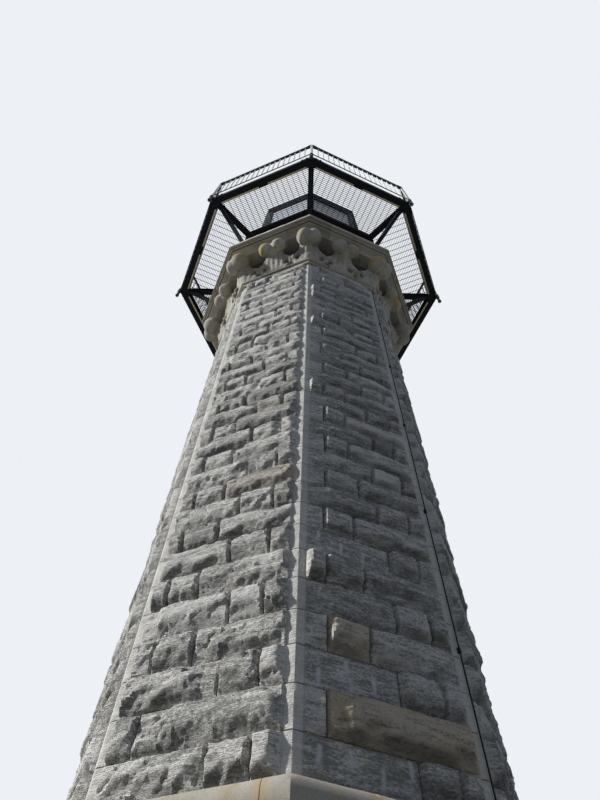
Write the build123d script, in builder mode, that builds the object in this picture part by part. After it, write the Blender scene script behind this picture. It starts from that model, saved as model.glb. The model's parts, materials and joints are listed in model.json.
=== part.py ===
from build123d import *
import os
from math import cos, radians, sin, tan

os.makedirs("parts", exist_ok=True)

# Driving dimensions in millimetres. The tower is a regular octagon in plan with
# flats facing -Y (front), +X, +Y (back) and -X. Heights are above the ground.
sides = 8
base_across_flats = 3120
base_wall = 560
base_height = 2280
set_off_height = 185
band_fillet_height = 38
band_roll_radius = 115
band_roll_set_in = 22

shaft_across_flats = 2480
shaft_wall = 420
shaft_top = 9700
margin_width = 47
rock_face_relief = 32
rock_face_slope = 35

string_height = 119
string_reach = 62
bell_top = 10500
bell_flare = 175
bell_chords = 3
cap_top = 10733
cap_reach = 440
drum_across_flats = 2420
drum_wall = 300

doorway_width = 780
doorway_height = 1950
door_recess = 150
door_thickness = 48
door_frame_width = 60
door_frame_depth = 110
floor_thickness = 100

deck_level = 12165
deck_across_flats = 4564
beam_depth = 150
channel_flange = 139
plate_thickness = 14
inner_ring_across_flats = 2990
grating_depth = 32
grating_lap = 40
bearing_bar_pitch = 30.2
bearing_bar_thickness = 5
grating_joint = 10
radial_beam_width = 95
radial_beam_plate = 10
brace_size = 60
brace_gap = 8
strip_length = 720
strip_width = 26
strip_thickness = 12
strip_edge_gap = 8

handrail_top = 13304
handrail_diameter = 50
post_diameter = 48
post_gap = 6
post_foot = 11844
pipe_edges = 8
collar_height = 30
collar_diameter = 68
collar_edges = 6
picket_size = 14
pickets_per_bay = 17
bottom_rail_level = 12235
bottom_rail_height = 30
bottom_rail_thickness = 14

lantern_across_flats = 2394
lantern_sill_height = 600
sill_thickness = 60
lantern_post_width = 70
lantern_head_height = 40
lantern_top = 14760
glass_thickness = 12
eave_height = 120
eave_reach = 53
eave_lip = 33
roof_apex = 15180
roof_thickness = 25
roof_cap_reach = 150
roof_vent_reach = 90
roof_cap_height = 60
lantern_floor_thickness = 20
lantern_floor_gap = 7

leaf_reach = 226
corner_knob_level = 10290
corner_knob_spacing = 158
face_knob_level = 10350
face_knob_spacing = 206
knob_radius = 104
knob_width = 186
knob_bevel = 52
leaf_stalk_width = 150
leaf_foot_width = 210
leaf_foot_height = 150
leaf_thickness = 58
side_leaf_reach = 190
side_leaf_rise = 250
side_leaf_width = 95

# Sizes that follow from the driving dimensions
half_turn = 180 / sides
corner = 1 / cos(radians(half_turn))
side_slope = tan(radians(half_turn))
base_outer = base_across_flats / 2
base_inner = base_outer - base_wall
shaft_outer = shaft_across_flats / 2
shaft_inner = shaft_outer - shaft_wall
band_foot = base_height + set_off_height
band_roll_foot = band_foot + band_fillet_height
band_roll_middle = band_roll_foot + band_roll_radius
band_top = band_roll_middle + band_roll_radius
band_roll_centre = shaft_outer + band_roll_set_in
string_top = shaft_top + string_height
drum_outer = drum_across_flats / 2
drum_inner = drum_outer - drum_wall
deck_outer = deck_across_flats / 2
beam_underside = deck_level - beam_depth
grating_foot = deck_level - grating_depth
channel_inner = deck_outer - channel_flange
inner_ring_outer = inner_ring_across_flats / 2
radial_beam_foot = beam_underside + plate_thickness
lantern_outer = lantern_across_flats / 2
lantern_inner = lantern_outer - sill_thickness
sill_top = deck_level + lantern_sill_height
eave_top = lantern_top + eave_height
eave_outer = lantern_outer + eave_reach
glass_top = lantern_top - lantern_head_height
handrail_middle = handrail_top - handrail_diameter / 2

face_names = ["front", "front_right", "right", "back_right", "back", "back_left", "left", "front_left"]
door_face = face_names.index("back")

# Upright plane through the axis: x runs outwards to the front, y is height.
front_section = Plane(origin=(0, 0, 0), x_dir=(0, -1, 0), z_dir=(-1, 0, 0))


def face_turn(index):
    """Angle in radians from the front face round to this face, seen from above."""
    return radians(index * 2 * half_turn)


def plan_plane(index, height):
    """Level plane at a height, with x along the face and y towards the axis."""
    turn = face_turn(index)
    return Plane(origin=(0, 0, height), x_dir=(cos(turn), sin(turn), 0), z_dir=(0, 0, 1))


def face_plane(index, apothem):
    """Upright plane on a face at this distance from the axis: x along the face, y is height."""
    turn = face_turn(index)
    outward = (sin(turn), -cos(turn), 0)
    origin = (apothem * outward[0], apothem * outward[1], 0)
    return Plane(origin=origin, x_dir=(cos(turn), sin(turn), 0), z_dir=outward)


def radial_plane(index):
    """Upright plane through the axis and a corner: x runs outwards, y is height."""
    turn = face_turn(index + 0.5)
    return Plane(origin=(0, 0, 0), x_dir=(sin(turn), -cos(turn), 0), z_dir=(-cos(turn), -sin(turn), 0))


def octagon(apothem, mode=Mode.ADD):
    """Regular octagon with flats facing the axes."""
    RegularPolygon(apothem, sides, major_radius=False, rotation=half_turn, mode=mode)


def octagon_ring(outer, inner):
    """Octagon with an octagonal hole."""
    octagon(outer)
    octagon(inner, mode=Mode.SUBTRACT)


def ring_path(apothem):
    """Closed line round the octagon that starts halfway along the front side."""
    reach = apothem * corner
    turns = [face_turn(index + 0.5) for index in range(sides)]
    corners = [(reach * sin(turn), -reach * cos(turn)) for turn in turns]
    Polyline((0, -apothem), *corners, (0, -apothem))


def wall_plan(outer, inner):
    """One face of an octagonal wall in plan, mitred at both corners."""
    Polygon(
        (-outer * side_slope, -outer),
        (outer * side_slope, -outer),
        (inner * side_slope, -inner),
        (-inner * side_slope, -inner),
        align=None,
    )


# Base: seven mitred walls, and a doorway through the eighth
base_walls = {}
for index, face in enumerate(face_names):
    if index == door_face:
        continue
    with BuildPart() as wall:
        with BuildSketch(plan_plane(index, 0)):
            wall_plan(base_outer, base_inner)
        extrude(amount=base_height)
        with BuildSketch(face_plane(index, base_outer)):
            with Locations((0, base_height / 2)):
                Rectangle(2 * (base_outer * side_slope - margin_width), base_height)
        extrude(amount=rock_face_relief, taper=rock_face_slope)
    base_walls[f"base_wall_{face}"] = wall

doorway_top = floor_thickness + doorway_height
door_piers = {}
for side_name, side_sign in (("left", -1), ("right", 1)):
    with BuildPart() as pier:
        with BuildSketch(plan_plane(door_face, 0)):
            Polygon(
                (side_sign * doorway_width / 2, -base_outer),
                (side_sign * base_outer * side_slope, -base_outer),
                (side_sign * base_inner * side_slope, -base_inner),
                (side_sign * doorway_width / 2, -base_inner),
                align=None,
            )
        extrude(amount=doorway_top)
    door_piers[f"door_pier_{side_name}"] = pier

with BuildPart() as door_lintel:
    with BuildSketch(plan_plane(door_face, doorway_top)):
        wall_plan(base_outer, base_inner)
    extrude(amount=base_height - doorway_top)

with BuildPart() as threshold:
    with BuildSketch(plan_plane(door_face, 0)):
        with Locations((0, -(base_outer + base_inner) / 2)):
            Rectangle(doorway_width, base_wall)
    extrude(amount=floor_thickness)

# Door: a frame in the recess and a closed plank leaf inside it
frame_face = base_outer - door_recess
clear_width = doorway_width - 2 * door_frame_width
clear_height = doorway_height - door_frame_width
with BuildPart() as door_frame:
    with BuildSketch(face_plane(door_face, frame_face)):
        with Locations((0, floor_thickness + doorway_height / 2)):
            Rectangle(doorway_width, doorway_height)
        with Locations((0, floor_thickness + clear_height / 2)):
            Rectangle(clear_width, clear_height, mode=Mode.SUBTRACT)
    extrude(amount=-door_frame_depth)

with BuildPart() as door_leaf:
    with BuildSketch(face_plane(door_face, frame_face - (door_frame_depth - door_thickness) / 2)):
        with Locations((0, floor_thickness + clear_height / 2)):
            Rectangle(clear_width, clear_height)
    extrude(amount=-door_thickness)

with BuildPart() as ground_floor:
    with BuildSketch(Plane.XY):
        octagon(base_inner)
    extrude(amount=floor_thickness)

# Set-off: the sloped course that brings the base in to the shaft
with BuildPart() as set_off:
    with BuildLine():
        ring_path(base_outer)
    with BuildSketch(front_section):
        Polygon(
            (shaft_inner, base_height),
            (base_outer, base_height),
            (shaft_outer + band_roll_radius, band_foot),
            (shaft_inner, band_foot),
            align=None,
        )
    sweep(transition=Transition.RIGHT)

# Band: a fillet and a large roll under the first course of the shaft
with BuildPart() as base_band:
    with BuildLine():
        ring_path(shaft_outer)
    with BuildSketch(front_section):
        with BuildLine():
            Polyline(
                (band_roll_centre, band_top),
                (shaft_inner, band_top),
                (shaft_inner, band_foot),
                (shaft_outer + band_roll_radius - band_fillet_height, band_foot),
                (shaft_outer + band_roll_radius - band_fillet_height, band_roll_foot),
                (band_roll_centre, band_roll_foot),
            )
            ThreePointArc(
                (band_roll_centre, band_roll_foot),
                (band_roll_centre + band_roll_radius, band_roll_middle),
                (band_roll_centre, band_top),
            )
        make_face()
    sweep(transition=Transition.RIGHT)

# Shaft: eight mitred walls, each with its rock face raised between dressed margins
shaft_walls = {}
for index, face in enumerate(face_names):
    with BuildPart() as wall:
        with BuildSketch(plan_plane(index, band_top)):
            wall_plan(shaft_outer, shaft_inner)
        extrude(amount=shaft_top - band_top)
        with BuildSketch(face_plane(index, shaft_outer)):
            with Locations((0, (band_top + shaft_top) / 2)):
                Rectangle(2 * (shaft_outer * side_slope - margin_width), shaft_top - band_top)
        extrude(amount=rock_face_relief, taper=rock_face_slope)
    shaft_walls[f"shaft_wall_{face}"] = wall

# String course: a fillet under a roll
string_roll_radius = string_height / 4
string_outer = shaft_outer + string_reach
with BuildPart() as string_course:
    with BuildLine():
        ring_path(shaft_outer)
    with BuildSketch(front_section):
        with BuildLine():
            Polyline(
                (string_outer - string_roll_radius, string_top),
                (shaft_inner, string_top),
                (shaft_inner, shaft_top),
                (shaft_outer + string_reach / 2, shaft_top),
                (shaft_outer + string_reach / 2, shaft_top + string_height / 2),
                (string_outer - string_roll_radius, shaft_top + string_height / 2),
            )
            ThreePointArc(
                (string_outer - string_roll_radius, shaft_top + string_height / 2),
                (string_outer, string_top - string_roll_radius),
                (string_outer - string_roll_radius, string_top),
            )
        make_face()
    sweep(transition=Transition.RIGHT)

# Bell of the capital: a hollow curve that flares up to the cap
bell_foot = shaft_outer + string_reach / 3
bell_head = bell_foot + bell_flare
bell_curve = ThreePointArc(
    (bell_foot, string_top),
    (bell_foot + bell_flare / 4, (string_top + bell_top) / 2),
    (bell_head, bell_top),
    mode=Mode.PRIVATE,
)
with BuildPart() as capital_bell:
    with BuildLine():
        ring_path(shaft_outer)
    with BuildSketch(front_section):
        with BuildLine():
            Polyline(
                (bell_head, bell_top),
                (drum_inner, bell_top),
                (drum_inner, string_top),
                (bell_foot, string_top),
            )
            add(bell_curve)
        make_face()
    sweep(transition=Transition.RIGHT)

# The bell's chords lie just outside its hollow curve and touch it, and the leaves are cut to them
with BuildPart() as bell_envelope:
    with BuildLine():
        ring_path(shaft_outer)
    with BuildSketch(front_section):
        Polygon(
            *[bell_curve @ (step / bell_chords) for step in range(bell_chords + 1)],
            (drum_inner, bell_top),
            (drum_inner, string_top),
            align=None,
        )
    sweep(transition=Transition.RIGHT)

# Cap of the capital: a cove between fillets
cap_outer = shaft_outer + cap_reach
cap_step = (cap_top - bell_top) / 5
with BuildPart() as capital_cap:
    with BuildLine():
        ring_path(shaft_outer)
    with BuildSketch(front_section):
        with BuildLine():
            Polyline(
                (cap_outer - 3 * cap_step, bell_top + 2 * cap_step),
                (cap_outer - 2 * cap_step, bell_top + 2 * cap_step),
                (cap_outer - 2 * cap_step, bell_top + 3 * cap_step),
                (cap_outer - cap_step, bell_top + 3 * cap_step),
                (cap_outer - cap_step, bell_top + 4 * cap_step),
                (cap_outer, bell_top + 4 * cap_step),
                (cap_outer, cap_top),
                (drum_inner, cap_top),
                (drum_inner, bell_top),
                (cap_outer - 4 * cap_step, bell_top),
                (cap_outer - 4 * cap_step, bell_top + cap_step),
            )
            RadiusArc(
                (cap_outer - 4 * cap_step, bell_top + cap_step),
                (cap_outer - 3 * cap_step, bell_top + 2 * cap_step),
                cap_step,
            )
        make_face()
    sweep(transition=Transition.RIGHT)

# Leaves: one corner leaf and one face leaf, each a stalk on the bell that curls out under the
# cap and ends in two knobs, with a side leaf branching off at each side. The front plane holds
# the pattern: foot is where the leaf leaves the string course, level is the middle of its knobs.
with BuildPart() as knob:
    with BuildSketch(front_section):
        RegularPolygon(knob_radius, sides, rotation=half_turn)
    extrude(amount=knob_width / 2, both=True)
    chamfer(knob.faces().filter_by(Axis.X).edges(), length=knob_bevel)

side_leaf_level = side_leaf_rise + side_leaf_width / 2
leaf_patterns = {}
for leaf_name, foot, knob_level, knob_spacing in (
    ("corner", bell_foot * corner, corner_knob_level, corner_knob_spacing),
    ("face", bell_foot, face_knob_level, face_knob_spacing),
):
    knob_reach = foot + leaf_reach
    neck_level = knob_level - knob_radius
    leaf_back = Plane(origin=(0, leaf_thickness - foot, string_top), x_dir=(1, 0, 0), z_dir=(0, -1, 0))
    with BuildPart() as leaf:
        with BuildSketch(front_section):
            Polygon(
                (foot - leaf_thickness, string_top),
                (foot + leaf_thickness, string_top),
                (foot + leaf_thickness, string_top + leaf_foot_height),
                (foot + leaf_reach / 3, (string_top + neck_level) / 2),
                (foot + leaf_reach / 2, neck_level),
                (knob_reach, neck_level + leaf_thickness),
                (knob_reach, knob_level + leaf_thickness),
                (foot + bell_flare, knob_level + knob_radius),
                (foot - leaf_thickness, knob_level + knob_radius),
                align=None,
            )
        extrude(amount=leaf_stalk_width / 2, both=True)
        with BuildSketch(front_section):
            with Locations((foot, string_top + leaf_foot_height / 2)):
                Rectangle(2 * leaf_thickness, leaf_foot_height)
        extrude(amount=leaf_foot_width / 2, both=True)
        for lobe_side in (-1, 1):
            with Locations((lobe_side * knob_spacing / 2, -knob_reach, knob_level)):
                add(knob.part)
            with BuildSketch(leaf_back):
                Polygon(
                    (lobe_side * leaf_foot_width / 4, leaf_foot_height / 2),
                    (lobe_side * (side_leaf_reach - side_leaf_width / 2), side_leaf_level - side_leaf_width),
                    (lobe_side * side_leaf_reach, side_leaf_level),
                    (lobe_side * (side_leaf_reach - side_leaf_width), side_leaf_rise + side_leaf_width),
                    (lobe_side * leaf_foot_width / 4, leaf_foot_height + side_leaf_width),
                    align=None,
                )
            extrude(amount=2 * leaf_thickness)
    leaf_patterns[leaf_name] = leaf

with BuildPart() as corner_leaves:
    with PolarLocations(0, sides, start_angle=half_turn):
        add(leaf_patterns["corner"].part)
    add(bell_envelope.part, mode=Mode.SUBTRACT)

with BuildPart() as face_leaves:
    with PolarLocations(0, sides):
        add(leaf_patterns["face"].part)
    add(bell_envelope.part, mode=Mode.SUBTRACT)

# Drum: the narrower wall that carries the gallery and the lantern
with BuildPart() as drum:
    with BuildSketch(Plane.XY.offset(cap_top)):
        octagon_ring(drum_outer, drum_inner)
    extrude(amount=deck_level - cap_top)

# Gallery: inner ring, outer channel, radial beams and braces
with BuildPart() as inner_ring_beam:
    with BuildLine():
        ring_path(drum_outer)
    with BuildSketch(front_section):
        Polygon(
            (drum_outer, deck_level),
            (drum_outer, beam_underside),
            (inner_ring_outer, beam_underside),
            (inner_ring_outer, grating_foot),
            (inner_ring_outer - grating_lap, grating_foot),
            (inner_ring_outer - grating_lap, deck_level),
            align=None,
        )
        Polygon(
            (drum_outer, deck_level - plate_thickness),
            (drum_outer, radial_beam_foot),
            (inner_ring_outer - plate_thickness, radial_beam_foot),
            (inner_ring_outer - plate_thickness, grating_foot - plate_thickness),
            (inner_ring_outer - grating_lap - plate_thickness, grating_foot - plate_thickness),
            (inner_ring_outer - grating_lap - plate_thickness, deck_level - plate_thickness),
            align=None,
            mode=Mode.SUBTRACT,
        )
    sweep(transition=Transition.RIGHT)

with BuildPart() as outer_ring_beam:
    with BuildLine():
        ring_path(deck_outer)
    with BuildSketch(front_section):
        Polygon(
            (deck_outer, deck_level),
            (channel_inner, deck_level),
            (channel_inner, deck_level - plate_thickness),
            (deck_outer - plate_thickness, deck_level - plate_thickness),
            (deck_outer - plate_thickness, radial_beam_foot),
            (channel_inner, radial_beam_foot),
            (channel_inner, beam_underside),
            (deck_outer, beam_underside),
            align=None,
        )
    sweep(transition=Transition.RIGHT)

# Radial beams: an I-section from the inner ring to the web of the channel
beam_height = grating_foot - radial_beam_foot
beam_middle = (grating_foot + radial_beam_foot) / 2
channel_web = deck_outer - plate_thickness
with BuildPart() as radial_beams:
    for index in range(sides):
        outward = radial_plane(index).x_dir
        along = -radial_plane(index).z_dir
        start = outward * inner_ring_outer + Vector(0, 0, beam_middle)
        with BuildSketch(Plane(origin=start, x_dir=along, z_dir=outward)):
            Rectangle(radial_beam_width, beam_height)
            for web_side in (-1, 1):
                with Locations((web_side * (radial_beam_width + radial_beam_plate) / 4, 0)):
                    Rectangle(
                        (radial_beam_width - radial_beam_plate) / 2,
                        beam_height - 2 * radial_beam_plate,
                        mode=Mode.SUBTRACT,
                    )
        extrude(amount=channel_web * corner - inner_ring_outer)
    with BuildSketch(Plane.XY.offset(radial_beam_foot)):
        octagon_ring(channel_web, inner_ring_outer)
    extrude(amount=beam_height, mode=Mode.INTERSECT)

# Knee braces: square struts at 45 degrees from the beams down to the drum's corners
brace_half_width = brace_size / 2 / cos(radians(45))
brace_head = channel_inner * corner - brace_half_width - brace_size / 2 * side_slope - brace_gap
brace_run = brace_head - drum_outer * corner
with BuildPart() as knee_braces:
    for index in range(sides):
        outward = radial_plane(index).x_dir
        along = -radial_plane(index).z_dir
        slope = (Vector(0, 0, 1) + outward).normalized()
        head = outward * brace_head + Vector(0, 0, radial_beam_foot) + slope * brace_size
        with BuildSketch(Plane(origin=head, x_dir=along, z_dir=slope)):
            Rectangle(brace_size, brace_size)
        extrude(amount=-(brace_run / cos(radians(45)) + 2 * brace_size))
    with BuildSketch(Plane.XY.offset(radial_beam_foot)):
        octagon(deck_outer)
    extrude(amount=beam_depth, mode=Mode.SUBTRACT)
    add(drum.part, mode=Mode.SUBTRACT)

# Grating: a panel in each bay, with bearing bars along the bay between two end bars
grating_inner = inner_ring_outer - grating_lap
grating_outer = channel_inner - grating_joint / 2
bar_count = int((grating_outer - grating_inner) / bearing_bar_pitch)
bar_spacing = (grating_outer - grating_inner - bearing_bar_thickness) / bar_count
end_bar_outer = grating_joint / 2 * corner
end_bar_inner = end_bar_outer + bearing_bar_thickness * corner
with BuildPart() as grating_panel:
    with BuildSketch(plan_plane(0, grating_foot)):
        Polygon(
            (grating_inner * side_slope - end_bar_outer, -grating_inner),
            (grating_outer * side_slope - end_bar_outer, -grating_outer),
            (-grating_outer * side_slope + end_bar_outer, -grating_outer),
            (-grating_inner * side_slope + end_bar_outer, -grating_inner),
            align=None,
        )
        for bar in range(bar_count):
            near = grating_inner + bearing_bar_thickness + bar * bar_spacing
            far = grating_inner + (bar + 1) * bar_spacing
            Polygon(
                (near * side_slope - end_bar_inner, -near),
                (far * side_slope - end_bar_inner, -far),
                (-far * side_slope + end_bar_inner, -far),
                (-near * side_slope + end_bar_inner, -near),
                align=None,
                mode=Mode.SUBTRACT,
            )
    extrude(amount=grating_depth)

with BuildPart() as deck_grating:
    with PolarLocations(0, sides):
        add(grating_panel.part)

# Edge strips: two slim bars under the channel in each bay
strip_line = channel_inner + strip_edge_gap + strip_width / 2
strip_place = strip_line * side_slope / 2
with BuildPart() as edge_strips:
    for index in range(sides):
        with BuildSketch(plan_plane(index, beam_underside)):
            for strip_side in (-1, 1):
                with Locations((strip_side * strip_place, -strip_line)):
                    Rectangle(strip_length, strip_width)
        extrude(amount=-strip_thickness)

# Railing: a pipe handrail, round posts outside the corners and a picket panel in each bay
picket_top = handrail_top - handrail_diameter
post_line = deck_outer * corner + post_diameter / 2 + post_gap
rail_line = post_line / corner
with BuildPart() as handrail:
    with BuildLine():
        ring_path(rail_line)
    with BuildSketch(front_section):
        with Locations((rail_line, handrail_middle)):
            RegularPolygon(handrail_diameter / 2, pipe_edges, major_radius=False, rotation=180 / pipe_edges)
    sweep(transition=Transition.RIGHT)

with BuildPart() as rail_post:
    with BuildSketch(Plane.XY.offset(post_foot)):
        with Locations((0, -post_line)):
            RegularPolygon(post_diameter / 2, pipe_edges)
    extrude(amount=picket_top - post_foot)
    for level in (post_foot, beam_underside + collar_height / 2, deck_level - 3 * collar_height / 2):
        with BuildSketch(Plane.XY.offset(level)):
            with Locations((0, -post_line)):
                RegularPolygon(collar_diameter / 2, collar_edges)
        extrude(amount=collar_height)

with BuildPart() as rail_posts:
    with PolarLocations(0, sides, start_angle=half_turn):
        add(rail_post.part)
    with BuildSketch(Plane.XY.offset(beam_underside)):
        octagon(deck_outer)
    extrude(amount=beam_depth, mode=Mode.SUBTRACT)

panel_reach = rail_line * side_slope - post_diameter / 2 * corner
picket_spacing = 2 * panel_reach / (pickets_per_bay + 1)
with BuildPart() as railing_panels:
    for index in range(sides):
        with BuildSketch(plan_plane(index, bottom_rail_level)):
            with Locations((0, -rail_line)):
                Rectangle(2 * panel_reach, bottom_rail_thickness)
        extrude(amount=bottom_rail_height)
        with BuildSketch(plan_plane(index, bottom_rail_level + bottom_rail_height)):
            for picket in range(1, pickets_per_bay + 1):
                with Locations((-panel_reach + picket * picket_spacing, -rail_line)):
                    Rectangle(picket_size, picket_size)
        extrude(amount=picket_top - bottom_rail_level - bottom_rail_height)

# Lantern: floor, sill, corner posts, panes, head, eave and roof
with BuildPart() as lantern_floor:
    with BuildSketch(Plane.XY.offset(deck_level)):
        octagon(lantern_inner - lantern_floor_gap)
    extrude(amount=lantern_floor_thickness)

with BuildPart() as lantern_sill:
    with BuildSketch(Plane.XY.offset(deck_level)):
        octagon_ring(lantern_outer, lantern_inner)
    extrude(amount=lantern_sill_height)

window_width = 2 * (lantern_outer * side_slope - lantern_post_width)
with BuildPart() as lantern_posts:
    with BuildSketch(Plane.XY.offset(sill_top)):
        octagon_ring(lantern_outer, lantern_inner)
    extrude(amount=glass_top - sill_top)
    for index in range(sides):
        with BuildSketch(plan_plane(index, sill_top)):
            with Locations((0, -lantern_outer)):
                Rectangle(window_width, 3 * sill_thickness)
        extrude(amount=glass_top - sill_top, mode=Mode.SUBTRACT)

with BuildPart() as lantern_glass:
    for index in range(sides):
        with BuildSketch(plan_plane(index, sill_top)):
            with Locations((0, -(lantern_outer + lantern_inner) / 2)):
                Rectangle(window_width, glass_thickness)
        extrude(amount=glass_top - sill_top)

with BuildPart() as lantern_eave:
    with BuildLine():
        ring_path(lantern_outer)
    with BuildSketch(front_section):
        Polygon(
            (lantern_inner, glass_top),
            (lantern_outer, glass_top),
            (lantern_outer, lantern_top),
            (eave_outer, eave_top - eave_lip),
            (eave_outer, eave_top),
            (lantern_inner, eave_top),
            align=None,
        )
    sweep(transition=Transition.RIGHT)

roof_vent_level = roof_apex - roof_thickness
with BuildPart() as lantern_roof:
    with BuildLine():
        ring_path(lantern_outer)
    with BuildSketch(front_section):
        Polygon(
            (eave_outer, eave_top),
            (roof_vent_reach, roof_apex),
            (roof_vent_reach, roof_vent_level),
            (lantern_inner, eave_top),
            align=None,
        )
    sweep(transition=Transition.RIGHT)

with BuildPart() as roof_cap:
    with BuildSketch(Plane.XY.offset(roof_apex)):
        octagon(roof_cap_reach)
    extrude(amount=roof_cap_height)

# Pieces by name, each written to its own file
pieces = {
    "ground_floor": ground_floor,
    **base_walls,
    **door_piers,
    "door_lintel": door_lintel,
    "door_threshold": threshold,
    "door_frame": door_frame,
    "door_leaf": door_leaf,
    "set_off": set_off,
    "base_band": base_band,
    **shaft_walls,
    "string_course": string_course,
    "capital_bell": capital_bell,
    "corner_leaves": corner_leaves,
    "face_leaves": face_leaves,
    "capital_cap": capital_cap,
    "drum": drum,
    "inner_ring_beam": inner_ring_beam,
    "outer_ring_beam": outer_ring_beam,
    "radial_beams": radial_beams,
    "knee_braces": knee_braces,
    "deck_grating": deck_grating,
    "edge_strips": edge_strips,
    "handrail": handrail,
    "rail_posts": rail_posts,
    "railing_panels": railing_panels,
    "lantern_floor": lantern_floor,
    "lantern_sill": lantern_sill,
    "lantern_posts": lantern_posts,
    "lantern_glass": lantern_glass,
    "lantern_eave": lantern_eave,
    "lantern_roof": lantern_roof,
    "roof_cap": roof_cap,
}
for name, piece in pieces.items():
    piece.part.label = name
    export_step(piece.part, f"parts/{name}.step")
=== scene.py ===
"""Looks of an octagonal stone lighthouse: rock-faced walls, carved capital, steel gallery and lantern."""

import json
import logging
import math
from collections.abc import Callable, Sequence
from dataclasses import dataclass, field
from enum import Enum
from functools import partial
from typing import Any

import bpy
import numpy as np
from mathutils import Matrix, Vector


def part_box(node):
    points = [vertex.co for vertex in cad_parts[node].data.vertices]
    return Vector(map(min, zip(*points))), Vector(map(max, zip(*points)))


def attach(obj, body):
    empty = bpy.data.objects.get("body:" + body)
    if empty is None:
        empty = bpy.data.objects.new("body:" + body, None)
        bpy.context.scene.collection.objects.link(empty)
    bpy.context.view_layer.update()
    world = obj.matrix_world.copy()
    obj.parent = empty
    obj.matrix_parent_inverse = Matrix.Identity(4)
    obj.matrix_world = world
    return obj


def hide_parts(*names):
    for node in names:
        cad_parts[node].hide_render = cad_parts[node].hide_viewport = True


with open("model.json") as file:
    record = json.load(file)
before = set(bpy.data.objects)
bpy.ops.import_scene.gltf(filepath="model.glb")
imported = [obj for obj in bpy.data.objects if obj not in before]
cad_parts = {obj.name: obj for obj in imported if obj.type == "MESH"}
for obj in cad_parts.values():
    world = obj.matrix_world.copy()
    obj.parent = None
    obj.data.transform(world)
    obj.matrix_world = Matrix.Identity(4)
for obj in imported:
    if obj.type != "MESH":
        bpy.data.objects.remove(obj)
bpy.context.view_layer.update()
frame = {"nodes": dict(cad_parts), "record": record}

Array = np.ndarray
Socket = bpy.types.NodeSocket
AddNode = Callable[..., Socket | None]
log = logging.getLogger("lighthouse")

BODY = "root"
SIDES = 8
HALF_TURN = math.pi / SIDES
SIDE_SLOPE = math.tan(HALF_TURN)
CORNER_STRETCH = 1 / math.cos(HALF_TURN)
MILLIMETRE = 0.001
ROUND = 20
STONE_NUMBERS = ("tint", "warmth", "hollow", "draft", "lime")


class Side(Enum):
    """The eight sides of the tower, counted from the front in steps of an eighth of a turn."""

    FRONT = 0
    FRONT_RIGHT = 1
    RIGHT = 2
    BACK_RIGHT = 3
    BACK = 4
    BACK_LEFT = 5
    LEFT = 6
    FRONT_LEFT = 7

    @property
    def turn(self) -> float:
        """Angle in radians from the front round to this side, seen from above."""
        return self.value * 2 * HALF_TURN

    @property
    def plain_name(self) -> str:
        """The side's name as the nodes spell it."""
        return self.name.lower()

    def place(self, along: Array | float, out: Array | float, up: Array | float) -> Array:
        """Points on this side, from distances rightwards from its middle, distances out and heights."""
        return place_at(self.turn, along, out, up)

    def level(self, length: float) -> Array:
        """A step rightwards along this side."""
        return self.place(length, 0.0, 0.0)

    def outward(self, length: float) -> Array:
        """A step straight out of this side."""
        return self.place(0.0, length, 0.0)


def place_at(turn: float, along: Array | float, out: Array | float, up: Array | float) -> Array:
    """Turns distances in an upright frame that faces outwards into points.

    The point is along times the level direction, plus out times the outward one, plus the height.

    Args:
        turn: angle in radians from the front round to the frame.
        along: distance along the frame's level direction.
        out: distance from the tower's axis.
        up: height.

    Returns:
        An array of points whose last axis is x, y, z.
    """
    along, out, up = np.broadcast_arrays(along, out, up)
    cos, sin = math.cos(turn), math.sin(turn)
    return np.stack([along * cos + out * sin, along * sin - out * cos, up], axis=-1)


def full_turn(count: int) -> Array:
    """Angles in radians at even steps round a circle, without the last that would repeat the first."""
    return np.linspace(0, 2 * math.pi, count, endpoint=False)


def upward(height: float) -> Array:
    """A step straight up."""
    return np.array([0, 0, height])


def lattice_value(cells: Array, seed: int) -> Array:
    """Gives each whole-numbered cell its own random number.

    The cell's numbers are mixed with large odd factors and shifts, and the low bits are scaled.

    Args:
        cells: whole numbers, with the coordinates on the last axis.
        seed: picks another set of numbers.

    Returns:
        Numbers between -1 and 1, one for each cell.
    """
    mixed = np.full(cells.shape[:-1], (seed * 2654435761 + 97) % 2**32, dtype=np.uint64)
    for axis, factor in zip(range(cells.shape[-1]), (0x9E3779B1, 0x85EBCA77, 0xC2B2AE3D)):
        step = (cells[..., axis] + 1_000_003).astype(np.uint64) * np.uint64(factor)
        mixed = (mixed ^ step) * np.uint64(0x27D4EB2F) & np.uint64(0xFFFFFFFF)
        mixed ^= mixed >> np.uint64(15)
    return mixed.astype(float) / 2**31 - 1


def smooth_noise(points: Array, seed: int) -> Array:
    """Random heights on a unit lattice, joined by smooth fades.

    Each point takes the mean of the numbers at its cell's corners, weighted by 3t^2 - 2t^3 on each axis.

    Args:
        points: places in lattice units, with two or three coordinates on the last axis.
        seed: picks another pattern.

    Returns:
        Numbers between -1 and 1.
    """
    base = np.floor(points).astype(np.int64)
    part = points - base
    fade = part * part * (3 - 2 * part)
    total = np.zeros(points.shape[:-1])
    for corner in np.ndindex(*(2,) * points.shape[-1]):
        weight = np.prod(np.where(corner, fade, 1 - fade), axis=-1)
        total += weight * lattice_value(base + np.array(corner), seed)
    return total


def layered_noise(points: Array, size: float, layers: int, seed: int) -> Array:
    """Adds layers of noise, each half as large and half as high as the one before.

    Args:
        points: places in metres.
        size: width of the largest lumps in metres.
        layers: how many layers are added.
        seed: picks another pattern.

    Returns:
        Numbers mostly between -1 and 1.
    """
    total = np.zeros(points.shape[:-1])
    for layer in range(layers):
        total += smooth_noise(points * (2**layer / size), seed + 31 * layer) / 2**layer
    return total / (2 - 2 ** (1 - layers))


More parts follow.
